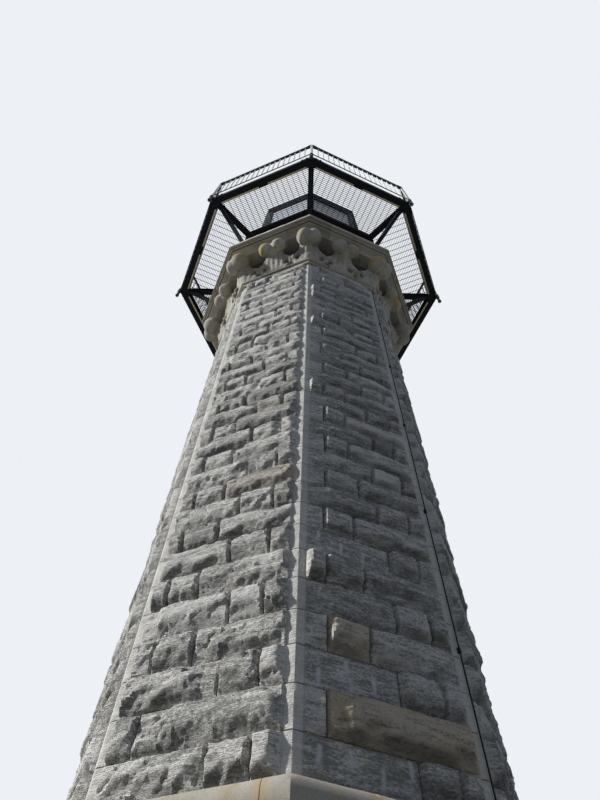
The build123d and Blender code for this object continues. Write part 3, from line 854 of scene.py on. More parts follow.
@dataclass
class AshlarWall:
    """One side of the tower: courses of broken or tooled stones between flat margins at the corners."""

    side: Side
    apothem: float
    inner: float
    foot: float
    head: float
    courses: int
    cell: float
    seed: int
    rock: RockFace | None = RockFace()
    margin: float = 0.047
    margin_columns: int = 3
    joint: float = 0.007
    joint_depth: float = 0.016
    arris_wear: float = 0.004
    course_jitter: float = 0.009
    cell_growth: float = 1.0
    proud: float = 0.07
    held_from: float = 0.75
    held_back: float = 0.65
    left_taper: float = 0.6
    right_taper: float = 0.3
    sharp_share: float = 0.0
    # How painted shade darkens the hollows of a broken face and the places where it leans over
    painted_shade_depth: float = 0.022
    painted_shade_slope: float = 1.6
    painted_shade_from: float = 1.5
    tooled_rise: float = 0.002
    tooled_roughness: float = 0.0012
    tooled_lump: float = 0.08
    tint_spread: float = 0.13
    warmth_middle: float = -0.6
    warmth_spread: float = 0.42
    mortar_share: float = 0.75
    mortar_warmth: float = 0.25
    lime_spacing: float = 0.155
    touches: dict[tuple[int, int], StoneTouch] = field(default_factory=dict)
    long_courses: tuple[int, ...] = ()

    @classmethod
    def of_group(cls, group: str, side: Side, **sizes: Any) -> "AshlarWall":
        """Makes a wall whose place comes from the front wall of its group of CAD nodes.

        Args:
            group: what the nodes' names start with, such as shaft.
            side: the wall's side.
            **sizes: the other fields.

        Returns:
            The wall.
        """
        node = f"{group}_wall_front"
        low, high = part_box(node)
        return cls(side, apothem=arris_apothem(node), inner=-high.y, foot=low.z, head=high.z, **sizes)

    @property
    def half(self) -> float:
        """Half the side's width between its corners."""
        return self.apothem * SIDE_SLOPE

    def beds(self) -> Array:
        """Heights of the bed joints: even steps, each moved a little. Every side has the same ones.

        Returns:
            The heights, from the foot to the head.
        """
        chance = np.random.default_rng(self.courses)
        beds = np.linspace(self.foot, self.head, self.courses + 1)
        beds[1:-1] += chance.uniform(-self.course_jitter, self.course_jitter, self.courses - 1)
        return beds

    def upright_joints(self, course: int, chance: np.random.Generator) -> list[float]:
        """Places of one course's upright joints, as shares of the side's width.

        Long, medium and short stones run one way in one course and the other way in the next.

        Args:
            course: the course's number from the bottom.
            chance: the wall's random numbers.

        Returns:
            Shares between 0 at the left corner and 1 at the right one.
        """
        if course % 2 == 0:
            return [chance.uniform(0.54, 0.62), chance.uniform(0.805, 0.82)]
        joints = [chance.uniform(0.16, 0.185)]
        if chance.random() >= 0.15:
            joints.append(chance.uniform(0.36, 0.45))
        return joints[:1] if course in self.long_courses else joints

    def stone_ends(self, course: int, chance: np.random.Generator) -> list[tuple[float, float]]:
        """Left and right ends of one course's stones, as distances along the side.

        Args:
            course: the course's number from the bottom.
            chance: the wall's random numbers.

        Returns:
            Pairs of ends, from the left stone to the right one.
        """
        shares = [0.0, *self.upright_joints(course, chance), 1.0]
        ends = [(2 * share - 1) * self.half for share in shares]
        return list(zip(ends[:-1], ends[1:]))

    def wear(self, corner: int, up: Array) -> Array:
        """How far the corner's edge is worn back at each height, the same from both sides."""
        place = np.stack([up / 0.07, np.full_like(up, corner * 9.0)], axis=-1)
        return self.arris_wear * np.clip(0.45 + 0.9 * smooth_noise(place, 5), 0.1, 1.2)

    def lime_runs(self, along: Array, up: Array, high: float) -> Array:
        """Pale marks where lime ran down the face: narrow stripes 9 cm long at uneven heights.

        Args:
            along: distances along the side.
            up: heights.
            high: the height of the stone's top.

        Returns:
            How pale each point is, from 0 to 1.
        """
        places = along / self.lime_spacing
        stripe = np.floor(places)[..., None].astype(np.int64)
        start = high - 0.05 - 0.05 * lattice_value(stripe, round(high * 100))
        across = np.abs(places % 1 - 0.5) * self.lime_spacing
        ragged = 0.004 * smooth_noise(np.stack([along, up], axis=-1) / 0.02, 3)
        fall = start - up
        faded = np.clip(fall / 0.01, 0, 1) * np.clip((0.11 - fall) / 0.04, 0, 1)
        return np.clip(1.9 - (across + ragged) / 0.008, 0, 1) * faded

    def add_stone(
        self, surface: Surface, left: float, right: float, bed: float, top: float, number: int,
        rocky: bool = True, touch: StoneTouch | None = None,
    ) -> None:
        """Adds one stone: its face, its tooled margin at a corner and its edges turned into the joint.

        A broken face that stands out past a share of what the wall allows keeps only part of the
        excess. Painted shade lies where the face is below its blurred self, and where it leans over.

        Args:
            surface: the wall's surface.
            left: place of the stone's left end along the side.
            right: place of its right end.
            bed: height of the joint under it.
            top: height of the joint over it.
            number: the stone's own number, which sets its break and colour.
            rocky: whether the face is broken, where the wall has a rock face.
            touch: what sets the stone apart, or nothing for a stone like the rest.
        """
        seed = self.seed * 1000 + number
        chance = np.random.default_rng(seed)
        at_left, at_right = left < 1e-4 - self.half, right > self.half - 1e-4
        left_draft = self.margin if at_left else 0.0
        right_draft = self.margin if at_right else 0.0
        start = left if at_left else left + self.joint / 2
        end = right if at_right else right - self.joint / 2
        low, high = bed + self.joint / 2, top - self.joint / 2
        cell = self.cell * (1 + (self.cell_growth - 1) * (bed - self.foot) / (self.head - self.foot))
        rows = max(3, round((high - low) / cell)) + 1
        ups = np.linspace(low, high, rows)
        columns = max(3, round((end - start - left_draft - right_draft) / cell)) + 1
        alongs = np.linspace(start + left_draft, end - right_draft, columns)
        steps = self.margin_columns
        if at_left:
            alongs = np.concatenate([np.linspace(start, start + left_draft, steps + 1)[:-1], alongs])
        if at_right:
            alongs = np.concatenate([alongs, np.linspace(end - right_draft, end, steps + 1)[1:]])
        along, up = np.meshgrid(alongs, ups)
        inside = np.zeros(along.shape, dtype=bool)
        inside[:, (steps + 1) * at_left : len(alongs) - (steps + 1) * at_right] = True
        rocky = rocky and self.rock is not None
        if rocky:
            wide = end - start - left_draft - right_draft
            left_taper = 1.0 if chance.random() < self.sharp_share else self.left_taper
            tapers = (left_taper if at_left else 1.0, self.right_taper if at_right else 1.0)
            relief = self.rock.relief(along - start - left_draft, up - low, wide, high - low, seed, tapers)
            relief = relief * (touch.rise if touch else 1.0)
            relief = relief - self.held_back * np.maximum(relief - self.held_from * self.proud, 0)
        else:
            rough = layered_noise(np.stack([along, up], axis=-1), self.tooled_lump, 2, seed)
            relief = self.tooled_rise + self.tooled_roughness * rough
        relief = np.where(inside, relief, 0.0)
        if at_left:
            relief[:, 0] = -self.wear(self.side.value, up[:, 0])
        if at_right:
            relief[:, -1] = -self.wear((self.side.value + 1) % SIDES, up[:, 0])
        # Painted shade: darker where the face lies below its blurred self and where it leans over
        overhang = np.gradient(blurred(relief, 5), ups, axis=0)
        hollow = np.clip((blurred(relief, 4) - relief) / self.painted_shade_depth - self.painted_shade_from, 0, 1)
        hollow = np.maximum(hollow, np.clip(self.painted_shade_slope * overhang - 0.1, 0, 1)) * inside
        draft = np.where(inside & rocky, 0.0, 1.0)
        borders = ((1, 1), (0 if at_left else 1, 0 if at_right else 1))
        along, up = np.pad(along, borders, mode="edge"), np.pad(up, borders, mode="edge")
        relief = np.pad(relief, borders, constant_values=-self.joint_depth)
        # The edges turned into the joint get full painted shade
        hollow = np.pad(hollow, borders, constant_values=1.0)
        draft = np.pad(draft, borders, mode="edge")
        out = self.apothem + relief
        limit = out * SIDE_SLOPE
        along = np.where(relief <= 0, np.clip(along, -limit, limit), along)
        tint = chance.normal(0, self.tint_spread)
        warmth = max(0.0, chance.normal(self.warmth_middle, self.warmth_spread))
        surface.add_grid(
            self.side.place(along, out, up),
            wrap_along=False,
            tint=touch.tint if touch else tint,
            warmth=touch.warmth if touch else warmth,
            hollow=hollow,
            draft=draft,
            lime=self.lime_runs(along, up, high) if touch and touch.lime else 0.0,
        )

    def add_backing(self, surface: Surface, left: float, right: float, foot: float, head: float) -> None:
        """Adds the closed block behind the stones, whose face is the mortar in the joints.

        Args:
            surface: the wall's surface.
            left: place of its left end on the outer face, mitred where it is a corner.
            right: place of its right end.
            foot: its lowest height.
            head: its highest height.
        """
        out = self.apothem - self.joint_depth * self.mortar_share
        ends = [(left, out), (right, out), (right, self.inner), (left, self.inner)]
        plan = [(np.clip(along, -far * SIDE_SLOPE, far * SIDE_SLOPE), far) for along, far in ends]
        surface.add_block(self.side, plan, foot, head, Finish.MORTAR, warmth=self.mortar_warmth)

    def back_up(self, surface: Surface, beds: Array, count: int) -> None:
        """Adds what the courses stand in front of, given their bed joints and how many stones they hold."""
        self.add_backing(surface, -self.half, self.half, self.foot, self.head)

    def fill(self, surface: Surface) -> None:
        """Adds every stone of the side and the blocks behind them to a surface.

        Args:
            surface: the surface that takes them.
        """
        chance = np.random.default_rng(self.seed)
        beds = self.beds()
        count = 0
        for course, (bed, top) in enumerate(zip(beds[:-1], beds[1:])):
            for place, (left, right) in enumerate(self.stone_ends(course, chance)):
                count += 1
                touch = self.touches.get((course, place))
                self.add_stone(surface, left, right, bed, top, count, touch=touch)
        self.back_up(surface, beds, count)

    def build(self, name: str, *nodes: str) -> bpy.types.Object:
        """Builds the side and returns its object, which stands for the CAD nodes.

        Args:
            name: the piece's name.
            *nodes: the CAD nodes that it stands for.

        Returns:
            The object.
        """
        surface = Surface(name, (Finish.ROCK, Finish.MORTAR))
        self.fill(surface)
        return surface.build(*nodes, crease=32)


# Sides that the photograph doesn't show, where the broken faces get larger cells
FAR_SIDES = (Side.BACK_RIGHT, Side.BACK, Side.BACK_LEFT, Side.LEFT)
FAR_CELL = 0.0148
NEAR_CELL = 0.0112

# What two sides have of their own: flat, streaked stones by the near corner with more painted shade under
# their overhangs, and bolder breaks on the right
SHAFT_SIDES = {
    Side.FRONT_RIGHT: dict(
        rock=RockFace(layering=0.014, coarse_tilt=0.06), touches=SHADED_STONES, long_courses=(1,),
        left_taper=0.05, sharp_share=0.3, painted_shade_slope=1.8,
    ),
    Side.RIGHT: dict(rock=RockFace(peak=0.085, layering=0.012), proud=0.1, left_taper=1.0),
}


@dataclass
class DoorwayWall(AshlarWall):
    """The side with the doorway: stones beside the opening, and a tooled lintel over it."""

    opening_half: float = 0.39
    lintel_bearing: float = 0.11

    @property
    def lintel_half(self) -> float:
        """Half the lintel's length."""
        return self.opening_half + self.lintel_bearing

    def stone_ends(self, course: int, chance: np.random.Generator) -> list[tuple[float, float]]:
        """One stone each side of the doorway, and in the top course one each side of the lintel."""
        edge = self.lintel_half if course == self.courses - 1 else self.opening_half
        return [(-self.half, -edge), (edge, self.half)]

    def back_up(self, surface: Surface, beds: Array, count: int) -> None:
        """Adds the lintel, a block behind the stones on each side of the opening, and one over it.

        Args:
            surface: the wall's surface.
            beds: heights of the bed joints.
            count: how many stones the courses hold.
        """
        edge = self.lintel_half
        self.add_stone(surface, -edge, edge, beds[-2], beds[-1], count + 1, rocky=False)
        self.add_backing(surface, -self.half, -self.opening_half, self.foot, beds[-2])
        self.add_backing(surface, self.opening_half, self.half, self.foot, beds[-2])
        self.add_backing(surface, -self.half, self.half, beds[-2], self.head)


def refined(points: Sequence[tuple[float, float]], step: float) -> Array:
    """Splits each stretch of a line into equal parts no longer than the step.

    Args:
        points: the line's corners.
        step: the longest part.

    Returns:
        The line's points, without repeating a corner.
    """
    corners = np.array(points, dtype=float)
    parts = []
    for start, end in zip(corners[:-1], corners[1:]):
        count = max(1, math.ceil(np.linalg.norm(end - start) / step))
        parts.append(start + (end - start) * np.linspace(0, 1, count, endpoint=False)[:, None])
    return np.concatenate([*parts, corners[-1:]])


def arc(
    centre: tuple[float, float], radius: float, start: float, end: float, count: int
) -> list[tuple[float, float]]:
    """Points on a round stretch of a profile: the centre plus the radius times cosine and sine.

    Args:
        centre: distance from the axis and height of the centre.
        radius: the arc's radius.
        start: angle in degrees where it starts, 0 outwards and 90 up.
        end: angle where it ends.
        count: how many points.

    Returns:
        Pairs of distance from the axis and height.
    """
    angles = np.radians(np.linspace(start, end, count))
    return [(centre[0] + radius * math.cos(angle), centre[1] + radius * math.sin(angle)) for angle in angles]


@dataclass
class RingCourse:
    """A moulded course round the octagon: a profile carried along the eight sides, mitred and weathered."""

    name: str
    slot: str
    finish: Finish
    node: str
    face: Sequence[tuple[float, float]]
    inner: float
    step: float = 0.03
    joint_shares: tuple[float, ...] = (-0.31,)
    joint: float = 0.006
    joint_depth: float = 0.012
    # Painted shade at the joints
    joint_painted_shade: float = 1.0
    joint_warmth: float = 0.0
    groove_painted_shade: float = 0.0
    # How much paler the painted highlight on upright stretches of the profile is
    painted_highlight: float = 0.0
    weathering: float = 0.003
    lump: float = 0.08
    draft: float = 0.35
    seed: int = 1

    def build(self) -> bpy.types.Object:
        """Builds the ring.

        On each side a station's place along is its share times the distance out times the half
        turn's tangent, so neighbours meet on the mitre. Near a joint the face sinks and gets painted
        shade, and layered noise moves the whole face in or out. Where the profile turns inwards it
        gets painted shade, and its upright stretches get a paler painted highlight.

        Returns:
            The object, which stands for its CAD node.
        """
        outer = refined(self.face, self.step)
        back = [(self.inner, self.face[-1][1]), (self.inner, self.face[0][1])]
        profile = np.concatenate([outer, back])
        half = float(outer[:, 0].mean()) * SIDE_SLOPE
        gap = self.joint / half
        stations = np.linspace(-1, 1, max(4, round(2 * half / self.step)), endpoint=False)
        for share in self.joint_shares:
            stations = stations[np.abs(stations - share) > 1.5 * gap]
            stations = np.concatenate([stations, share + gap * np.array([-1, -0.5, 0, 0.5, 1])])
        stations = np.sort(stations)
        at_joint = np.zeros(len(stations))
        stained = np.zeros(len(stations))
        stone = np.zeros(len(stations))
        for share in self.joint_shares:
            at_joint = np.maximum(at_joint, np.clip(2 - 2 * np.abs(stations - share) / gap, 0, 1))
            stained = np.maximum(stained, np.clip(1.5 - np.abs(stations - share) * half / self.step, 0, 1))
            stone += stations > share
        chance = np.random.default_rng(self.seed)
        is_face = np.arange(len(profile)) < len(outer)
        is_face &= np.arange(len(profile)) > 0
        ahead = np.diff(profile, axis=0, append=profile[:1])
        behind = np.roll(ahead, 1, axis=0)
        turning = behind[:, 0] * ahead[:, 1] - behind[:, 1] * ahead[:, 0]
        lengths = np.linalg.norm(ahead, axis=-1) * np.linalg.norm(behind, axis=-1)
        # Painted shade where the profile turns inwards, and a painted highlight on upright stretches
        corner_painted_shade = (self.groove_painted_shade * (turning < -0.5 * lengths) * is_face)[:, None]
        upright = np.abs(ahead[:, 1]) > 0.9 * np.linalg.norm(ahead, axis=-1)
        painted_highlight = (self.painted_highlight * (upright | np.roll(upright, 1)) * is_face)[:, None]
        parts = {"grid": [], "tint": [], "hollow": [], "warmth": []}
        tint_of = chance.normal(0, 0.12, (SIDES, len(self.joint_shares) + 1))
        tint_of[:, -1] = np.roll(tint_of[:, 0], -1)
        for side in Side:
            out = np.broadcast_to(profile[:, :1], (len(profile), len(stations))).copy()
            up = np.broadcast_to(profile[:, 1:], out.shape)
            place = side.place(stations * out * SIDE_SLOPE, out, up)
            rough = self.weathering * layered_noise(place, self.lump, 3, self.seed)
            out += np.where(is_face[:, None], rough - self.joint_depth * at_joint, 0)
            parts["grid"].append(side.place(stations * out * SIDE_SLOPE, out, up))
            parts["tint"].append(tint_of[side.value][stone.astype(int)] + painted_highlight)
            parts["hollow"].append(np.maximum(self.joint_painted_shade * at_joint, corner_painted_shade))
            parts["warmth"].append(np.broadcast_to(self.joint_warmth * stained, out.shape))
        surface = Surface(self.name, (self.finish,), self.slot)
        joined = {name: np.concatenate(part, axis=1) for name, part in parts.items()}
        surface.add_grid(**joined, wrap_up=True, draft=self.draft)
        return surface.build(self.node, crease=35)


@dataclass
class Crocket:
    """One leaf of the capital: a broad body on the bell, and a neck that curls out into two knobs."""

    turn: float
    at_corner: bool
    foot: float
    flare: float
    low: float
    high: float
    knob_level: float
    knob_spacing: float
    seed: int
    reach: float = 0.226
    knob_width: float = 0.112
    knob_depth: float = 0.098
    knob_height: float = 0.114
    knob_rows: int = 22
    knob_columns: int = 32
    leaf_rows: int = 30
    leaf_columns: int = 31
    back_columns: int = 9
    side_knob_place: float = 0.215
    side_knob_radii: tuple[float, float, float] = (0.055, 0.05, 0.062)

    def skin(self, along: Array | float, up: Array | float) -> Array:
        """Distance out of the bell's surface: its flare grows as the square of the height's share.

        On a corner the surface falls back to both sides by the half turn's tangent.

        Args:
            along: distances along the leaf's side.
            up: heights.

        Returns:
            Distances from the axis in the leaf's direction.
        """
        share = (up - self.low) / (self.high - self.low)
        flat = self.foot + self.flare * share**2
        return flat * CORNER_STRETCH - np.abs(along) * SIDE_SLOPE if self.at_corner else flat + 0 * along

    def ball(
        self, along: float, out: float, up: float, radii: tuple[float, float, float],
        grooves: float = 0.0, swirl: float = 0.0,
    ) -> Array:
        """A closed knob: an ellipsoid in latitude and longitude, with straight or spiral grooves.

        The poles lie on the outward axis, so straight grooves fan out from the knob's nose like a
        leaf's veins. A spiral groove follows the cosine of nine times the latitude plus the longitude.

        Args:
            along: place of the middle along the level direction.
            out: its distance from the axis.
            up: its height.
            radii: half its width, depth and height.
            grooves: how deep the straight grooves are, as a share of the radius.
            swirl: how deep the spiral groove is, as a share of the radius.

        Returns:
            A grid of points whose columns close on themselves.
        """
        polar = np.linspace(0, math.pi, self.knob_rows)[:, None]
        round_ = full_turn(self.knob_columns)[None, :]
        fade = np.sin(polar) ** 2
        swell = 1 - grooves * (0.5 + 0.5 * np.cos(7 * round_)) * fade
        swell = swell - swirl * (0.5 + 0.5 * np.cos(9 * polar + round_)) * fade
        return place_at(
            self.turn,
            along + radii[0] * swell * np.sin(polar) * np.cos(round_),
            out - radii[1] * swell * np.cos(polar),
            up + radii[2] * swell * np.sin(polar) * np.sin(round_),
        )

    def body(self, chance: np.random.Generator) -> Array:
        """The leaf's body: a thick sheet on the bell, widest at a third of its height.

        Its half width and its lift off the bell are read from short tables at each height. Across
        the leaf the lift falls with the square of the share of the half width, three veins sink in
        as cosines, and a rim rises near the edge as a bell curve.

        Args:
            chance: the leaf's random numbers.

        Returns:
            A closed grid, whose rows are rings round the sheet and whose columns close on themselves.
        """
        steps = np.linspace(0, 1, self.leaf_rows)
        heights = (0, 0.1, 0.25, 0.4, 0.55, 0.7, 0.85, 1)
        half = np.interp(steps, heights, (0.17, 0.235, 0.28, 0.295, 0.285, 0.225, 0.155, 0.13))
        half = half * (1 + 0.045 * np.cos(steps * 8 * math.pi + chance.uniform(0, 3)))
        middle = np.interp(steps, heights, (0.03, 0.055, 0.075, 0.09, 0.11, 0.14, 0.175, 0.2))
        edge = np.interp(steps, heights, (0.022, 0.04, 0.052, 0.058, 0.06, 0.07, 0.1, 0.13))
        face, back = np.linspace(-1, 1, self.leaf_columns), np.linspace(1, -1, self.back_columns)
        across = np.concatenate([face, back])
        in_front = np.arange(len(across)) < self.leaf_columns
        share = np.abs(across)[None, :]
        lift = middle[:, None] + (edge - middle)[:, None] * share**2
        fade = np.sin(steps * math.pi)[:, None] ** 0.5
        lift = lift - 0.02 * (0.5 + 0.5 * np.cos(7 * math.pi * share)) * fade
        lift = lift + 0.014 * np.exp(-(((share - 0.86) / 0.09) ** 2))
        along = across[None, :] * half[:, None]
        up = (self.low - 0.01 + steps * (self.knob_level - 0.02 - self.low))[:, None] + 0 * along
        front = np.where(in_front[None, :], lift, -0.05)
        grid = place_at(self.turn, along, self.skin(along, up) + front, up)
        ends = grid[[0, -1]].mean(axis=1, keepdims=True) + 0 * grid[[0, -1]]
        return np.concatenate([ends[:1], grid, ends[1:]])

    def parts(self) -> list[Array]:
        """Returns the leaf's closed grids, each a little different from the other leaves'.

        Returns:
            The grids.
        """
        chance = np.random.default_rng(self.seed)
        height = self.high - self.low
        half = self.knob_spacing / 2
        out = float(self.skin(0.0, self.low)) + self.reach
        shape = (1.2, 1.45, 1.5) if self.at_corner else (1.1, 1.2, 1.12)
        knob = (self.knob_width, self.knob_depth, self.knob_height)
        grids = [
            self.body(chance),
            self.ball(0, out - 0.08, self.knob_level - 0.03, (half + 0.05, 0.12, 0.12), grooves=0.06),
        ]
        swirled = chance.integers(2)
        turn_in = half * SIDE_SLOPE if self.at_corner else 0.0
        curl = float(self.skin(0.21, self.low + 0.3 * height))
        for place, sign in enumerate((-1, 1)):
            grow = chance.uniform(0.93, 1.06)
            plain = place != swirled or self.at_corner
            grooves, swirl = (chance.uniform(0.03, 0.09), 0.0) if plain else (0.0, 0.1)
            radii = tuple(stretch * grow * size for stretch, size in zip(shape, knob))
            along = sign * half * chance.uniform(0.96, 1.06)
            level = self.knob_level + chance.uniform(-0.012, 0.012)
            grids.append(self.ball(along, out - 0.5 * turn_in, level, radii, grooves, swirl))
            level = self.low + chance.uniform(0.27, 0.34) * height
            along = sign * self.side_knob_place
            grids.append(self.ball(along, curl + 0.06, level, self.side_knob_radii, 0.05, 0.16))
        return grids


@dataclass
class Capital:
    """The carved head of the shaft: a bell clothed in curling leaves that the weather has rounded."""

    voxel: float = 0.0149
    bell_flare_share: float = 0.3
    corner_knob_level: float = 10.29
    corner_knob_spacing: float = 0.13
    face_knob_level: float = 10.35
    face_knob_spacing: float = 0.206
    erosion: float = 0.006
    drill_depth: float = 0.1
    drill_radius: float = 0.04
    drill_holes: tuple[tuple[float, float], ...] = ((-0.1, 0.24), (0.1, 0.24), (0.0, 0.11))
    hidden_reach: float = 0.06
    # How deep below its softened self the skin must lie for full painted shade
    painted_shade_depth: float = 0.014
    recess_reach: float = 0.17
    knob_reach: float = 0.15
    level_fade: float = 0.15
    seed: int = 300

    def __post_init__(self) -> None:
        """Reads the bell's place from its CAD node."""
        low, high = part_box("capital_bell")
        self.low, self.high = low.z, high.z
        self.foot = arris_apothem("shaft_wall_front") + 0.02
        self.flare = (apothem_of("capital_bell") - self.foot) * self.bell_flare_share

    def crockets(self) -> list[Crocket]:
        """The sixteen leaves: one on each corner and one on each side.

        Returns:
            The leaves, one after another round the bell.
        """
        bell = dict(foot=self.foot, flare=self.flare, low=self.low, high=self.high)
        face = dict(knob_level=self.face_knob_level, knob_spacing=self.face_knob_spacing)
        corner = dict(knob_level=self.corner_knob_level, knob_spacing=self.corner_knob_spacing)
        return [
            Crocket(turn=index * HALF_TURN, at_corner=index % 2 == 1, seed=self.seed + index, **bell, **knobs)
            for index, knobs in enumerate([face, corner] * SIDES)
        ]

    def bell(self) -> Array:
        """The bell's own closed ring, whose face flares with the square of the height's share.

        Returns:
            A grid of points whose rows and columns close on themselves.
        """
        share = np.linspace(0, 1, 40)
        flared, level = self.foot + self.flare * share**2, self.low + (self.high - self.low) * share
        face = np.stack([flared, level], axis=-1)
        inner = self.foot - 0.1
        profile = np.concatenate([face, [(inner, self.high), (inner, self.low)]])
        stations = np.linspace(-1, 1, 24, endpoint=False)
        out, up = profile[:, :1], profile[:, 1:]
        return np.concatenate([side.place(stations * out * SIDE_SLOPE, out, up) for side in Side], axis=1)

    def clay(self) -> tuple[Array, Array]:
        """Joins the closed forms into one skin by remeshing them in small cubes.

        Returns:
            The skin's points and its four-sided faces.
        """
        surface = Surface("clay", (Finish.CARVED,))
        surface.add_grid(self.bell(), wrap_up=True)
        for leaf in self.crockets():
            for grid in leaf.parts():
                surface.add_grid(grid)
        mesh = bpy.data.meshes.new("clay")
        mesh.from_pydata(np.concatenate(surface.points), [], np.concatenate(surface.quads))
        lump = bpy.data.objects.new("clay", mesh)
        bpy.context.scene.collection.objects.link(lump)
        remesh = lump.modifiers.new("clay", "REMESH")
        remesh.mode = "VOXEL"
        remesh.voxel_size = self.voxel
        bpy.context.view_layer.update()
        skin = bpy.data.meshes.new_from_object(lump.evaluated_get(bpy.context.evaluated_depsgraph_get()))
        points = np.zeros(len(skin.vertices) * 3, dtype=np.float32)
        skin.vertices.foreach_get("co", points)
        corners = np.zeros(len(skin.loops), dtype=np.int32)
        skin.loops.foreach_get("vertex_index", corners)
        bpy.data.objects.remove(lump)
        bpy.data.meshes.remove(skin)
        return points.reshape(-1, 3).astype(float), corners.reshape(-1, 4)

    def relaxed(self, points: Array, quads: Array, passes: int) -> Array:
        """Moves every point halfway to the mean of its neighbours, several times.

        Args:
            points: a list of points.
            quads: the corners of each face.
            passes: how many times.

        Returns:
            The moved points.
        """
        starts = np.concatenate([quads[:, corner] for corner in range(4)])
        ends = np.concatenate([quads[:, (corner + 1) % 4] for corner in range(4)])
        count = np.bincount(starts, minlength=len(points)) + np.bincount(ends, minlength=len(points))
        for _ in range(passes):
            onward = [np.bincount(starts, points[ends, axis], len(points)) for axis in range(3)]
            back = [np.bincount(ends, points[starts, axis], len(points)) for axis in range(3)]
            total = np.stack(onward, axis=-1) + np.stack(back, axis=-1)
            points = 0.5 * points + 0.5 * total / count[:, None]
        return points

    def normals(self, points: Array, quads: Array) -> Array:
        """Outward unit directions: the cross product of each face's diagonals, added up at its corners.

        Args:
            points: a list of points.
            quads: the corners of each face.

        Returns:
            A direction for each point.
        """
        face = np.cross(points[quads[:, 2]] - points[quads[:, 0]], points[quads[:, 3]] - points[quads[:, 1]])
        parts = [[np.bincount(corner, face[:, axis], len(points)) for corner in quads.T] for axis in range(3)]
        total = np.stack([sum(part) for part in parts], axis=-1)
        return total / np.maximum(np.linalg.norm(total, axis=-1, keepdims=True), 1e-12)

    def drilled(self, points: Array) -> tuple[Array, Array]:
        """Sinks the drill holes low between the leaves.

        A point moves towards the axis by the depth times a bell curve of its distance from the hole.

        Args:
            points: the skin's points.

        Returns:
            The moved points, and how deep in a hole each lies, from 0 to 1.
        """
        depth = np.zeros(len(points))
        chance = np.random.default_rng(self.seed + 50)
        for index in range(2 * SIDES):
            turn = (index + 0.5) * HALF_TURN
            out, level = place_at(turn, 0.0, 1.0, 0.0), place_at(turn, 1.0, 0.0, 0.0)
            for shift, rise in self.drill_holes:
                along = points @ level - shift - chance.uniform(-0.035, 0.035)
                up = points[:, 2] - (self.low + (rise + chance.uniform(-0.05, 0.05)) * (self.high - self.low))
                radius = self.drill_radius * chance.uniform(0.6, 1.15)
                near = np.exp(-(((along**2 + (0.7 * up) ** 2) / radius**2) ** 1.5))
                depth = np.maximum(depth, near * (points @ out > self.foot * 0.9))
        inward = -points * np.array([1, 1, 0]) / np.linalg.norm(points[:, :2], axis=-1, keepdims=True)
        return points + inward * (self.drill_depth * depth)[:, None], depth

    def apothems(self, points: Array) -> Array:
        """Each point's distance from the axis, square to the side that it lies on."""
        return np.max([points @ side.outward(1.0) for side in Side], axis=0)

    def build(self) -> bpy.types.Object:
        """Builds the carving and returns its object, which stands for the bell and the leaves.

        Faces inside the bell are dropped. Painted shade lies where the skin is below its softened
        self, under the knobs and in the drill holes, and lichen grows on the knobs.

        Returns:
            The object.
        """
        points, quads = self.clay()
        kept = quads[(self.apothems(points)[quads] > self.foot - self.hidden_reach).any(axis=1)]
        points = self.relaxed(points, quads, 2)
        points, drilled = self.drilled(points)
        normal = self.normals(points, quads)
        points = points + normal * (self.erosion * layered_noise(points, 0.07, 3, self.seed))[:, None]
        softened = self.relaxed(points, quads, 12)
        # Painted shade: below the softened skin, in the deep recesses under the knobs and in the drill holes
        hollow = np.clip(((softened - points) * normal).sum(axis=-1) / self.painted_shade_depth, 0, 1)
        apothems = self.apothems(points)
        share = (points[:, 2] - self.low) / (self.high - self.low)
        recess = np.clip((self.foot + self.recess_reach - apothems) / 0.12, 0, 1)
        recess = recess * np.clip((share - 0.42) / self.level_fade, 0, 1)
        hollow = np.maximum(hollow, np.maximum(recess, drilled))
        on_knob = np.clip((apothems - self.foot - self.knob_reach) / 0.1, 0, 1)
        on_knob = on_knob * np.clip((share - 0.45) / self.level_fade, 0, 1)
        used, places = np.unique(kept, return_inverse=True)
        lichen = np.clip(1.6 * layered_noise(points[used], 0.25, 2, self.seed + 2), 0, 1)
        surface = Surface("capital_carving", (Finish.CARVED,))
        surface.add_faces(
            points[used],
            places.reshape(-1, 4),
            hollow=hollow[used],
            tint=0.15 * layered_noise(points[used], 0.5, 2, self.seed + 1),
            warmth=lichen * (0.3 + 1.5 * on_knob[used]),
        )
        return surface.build("capital_bell", "corner_leaves", "face_leaves", crease=70)


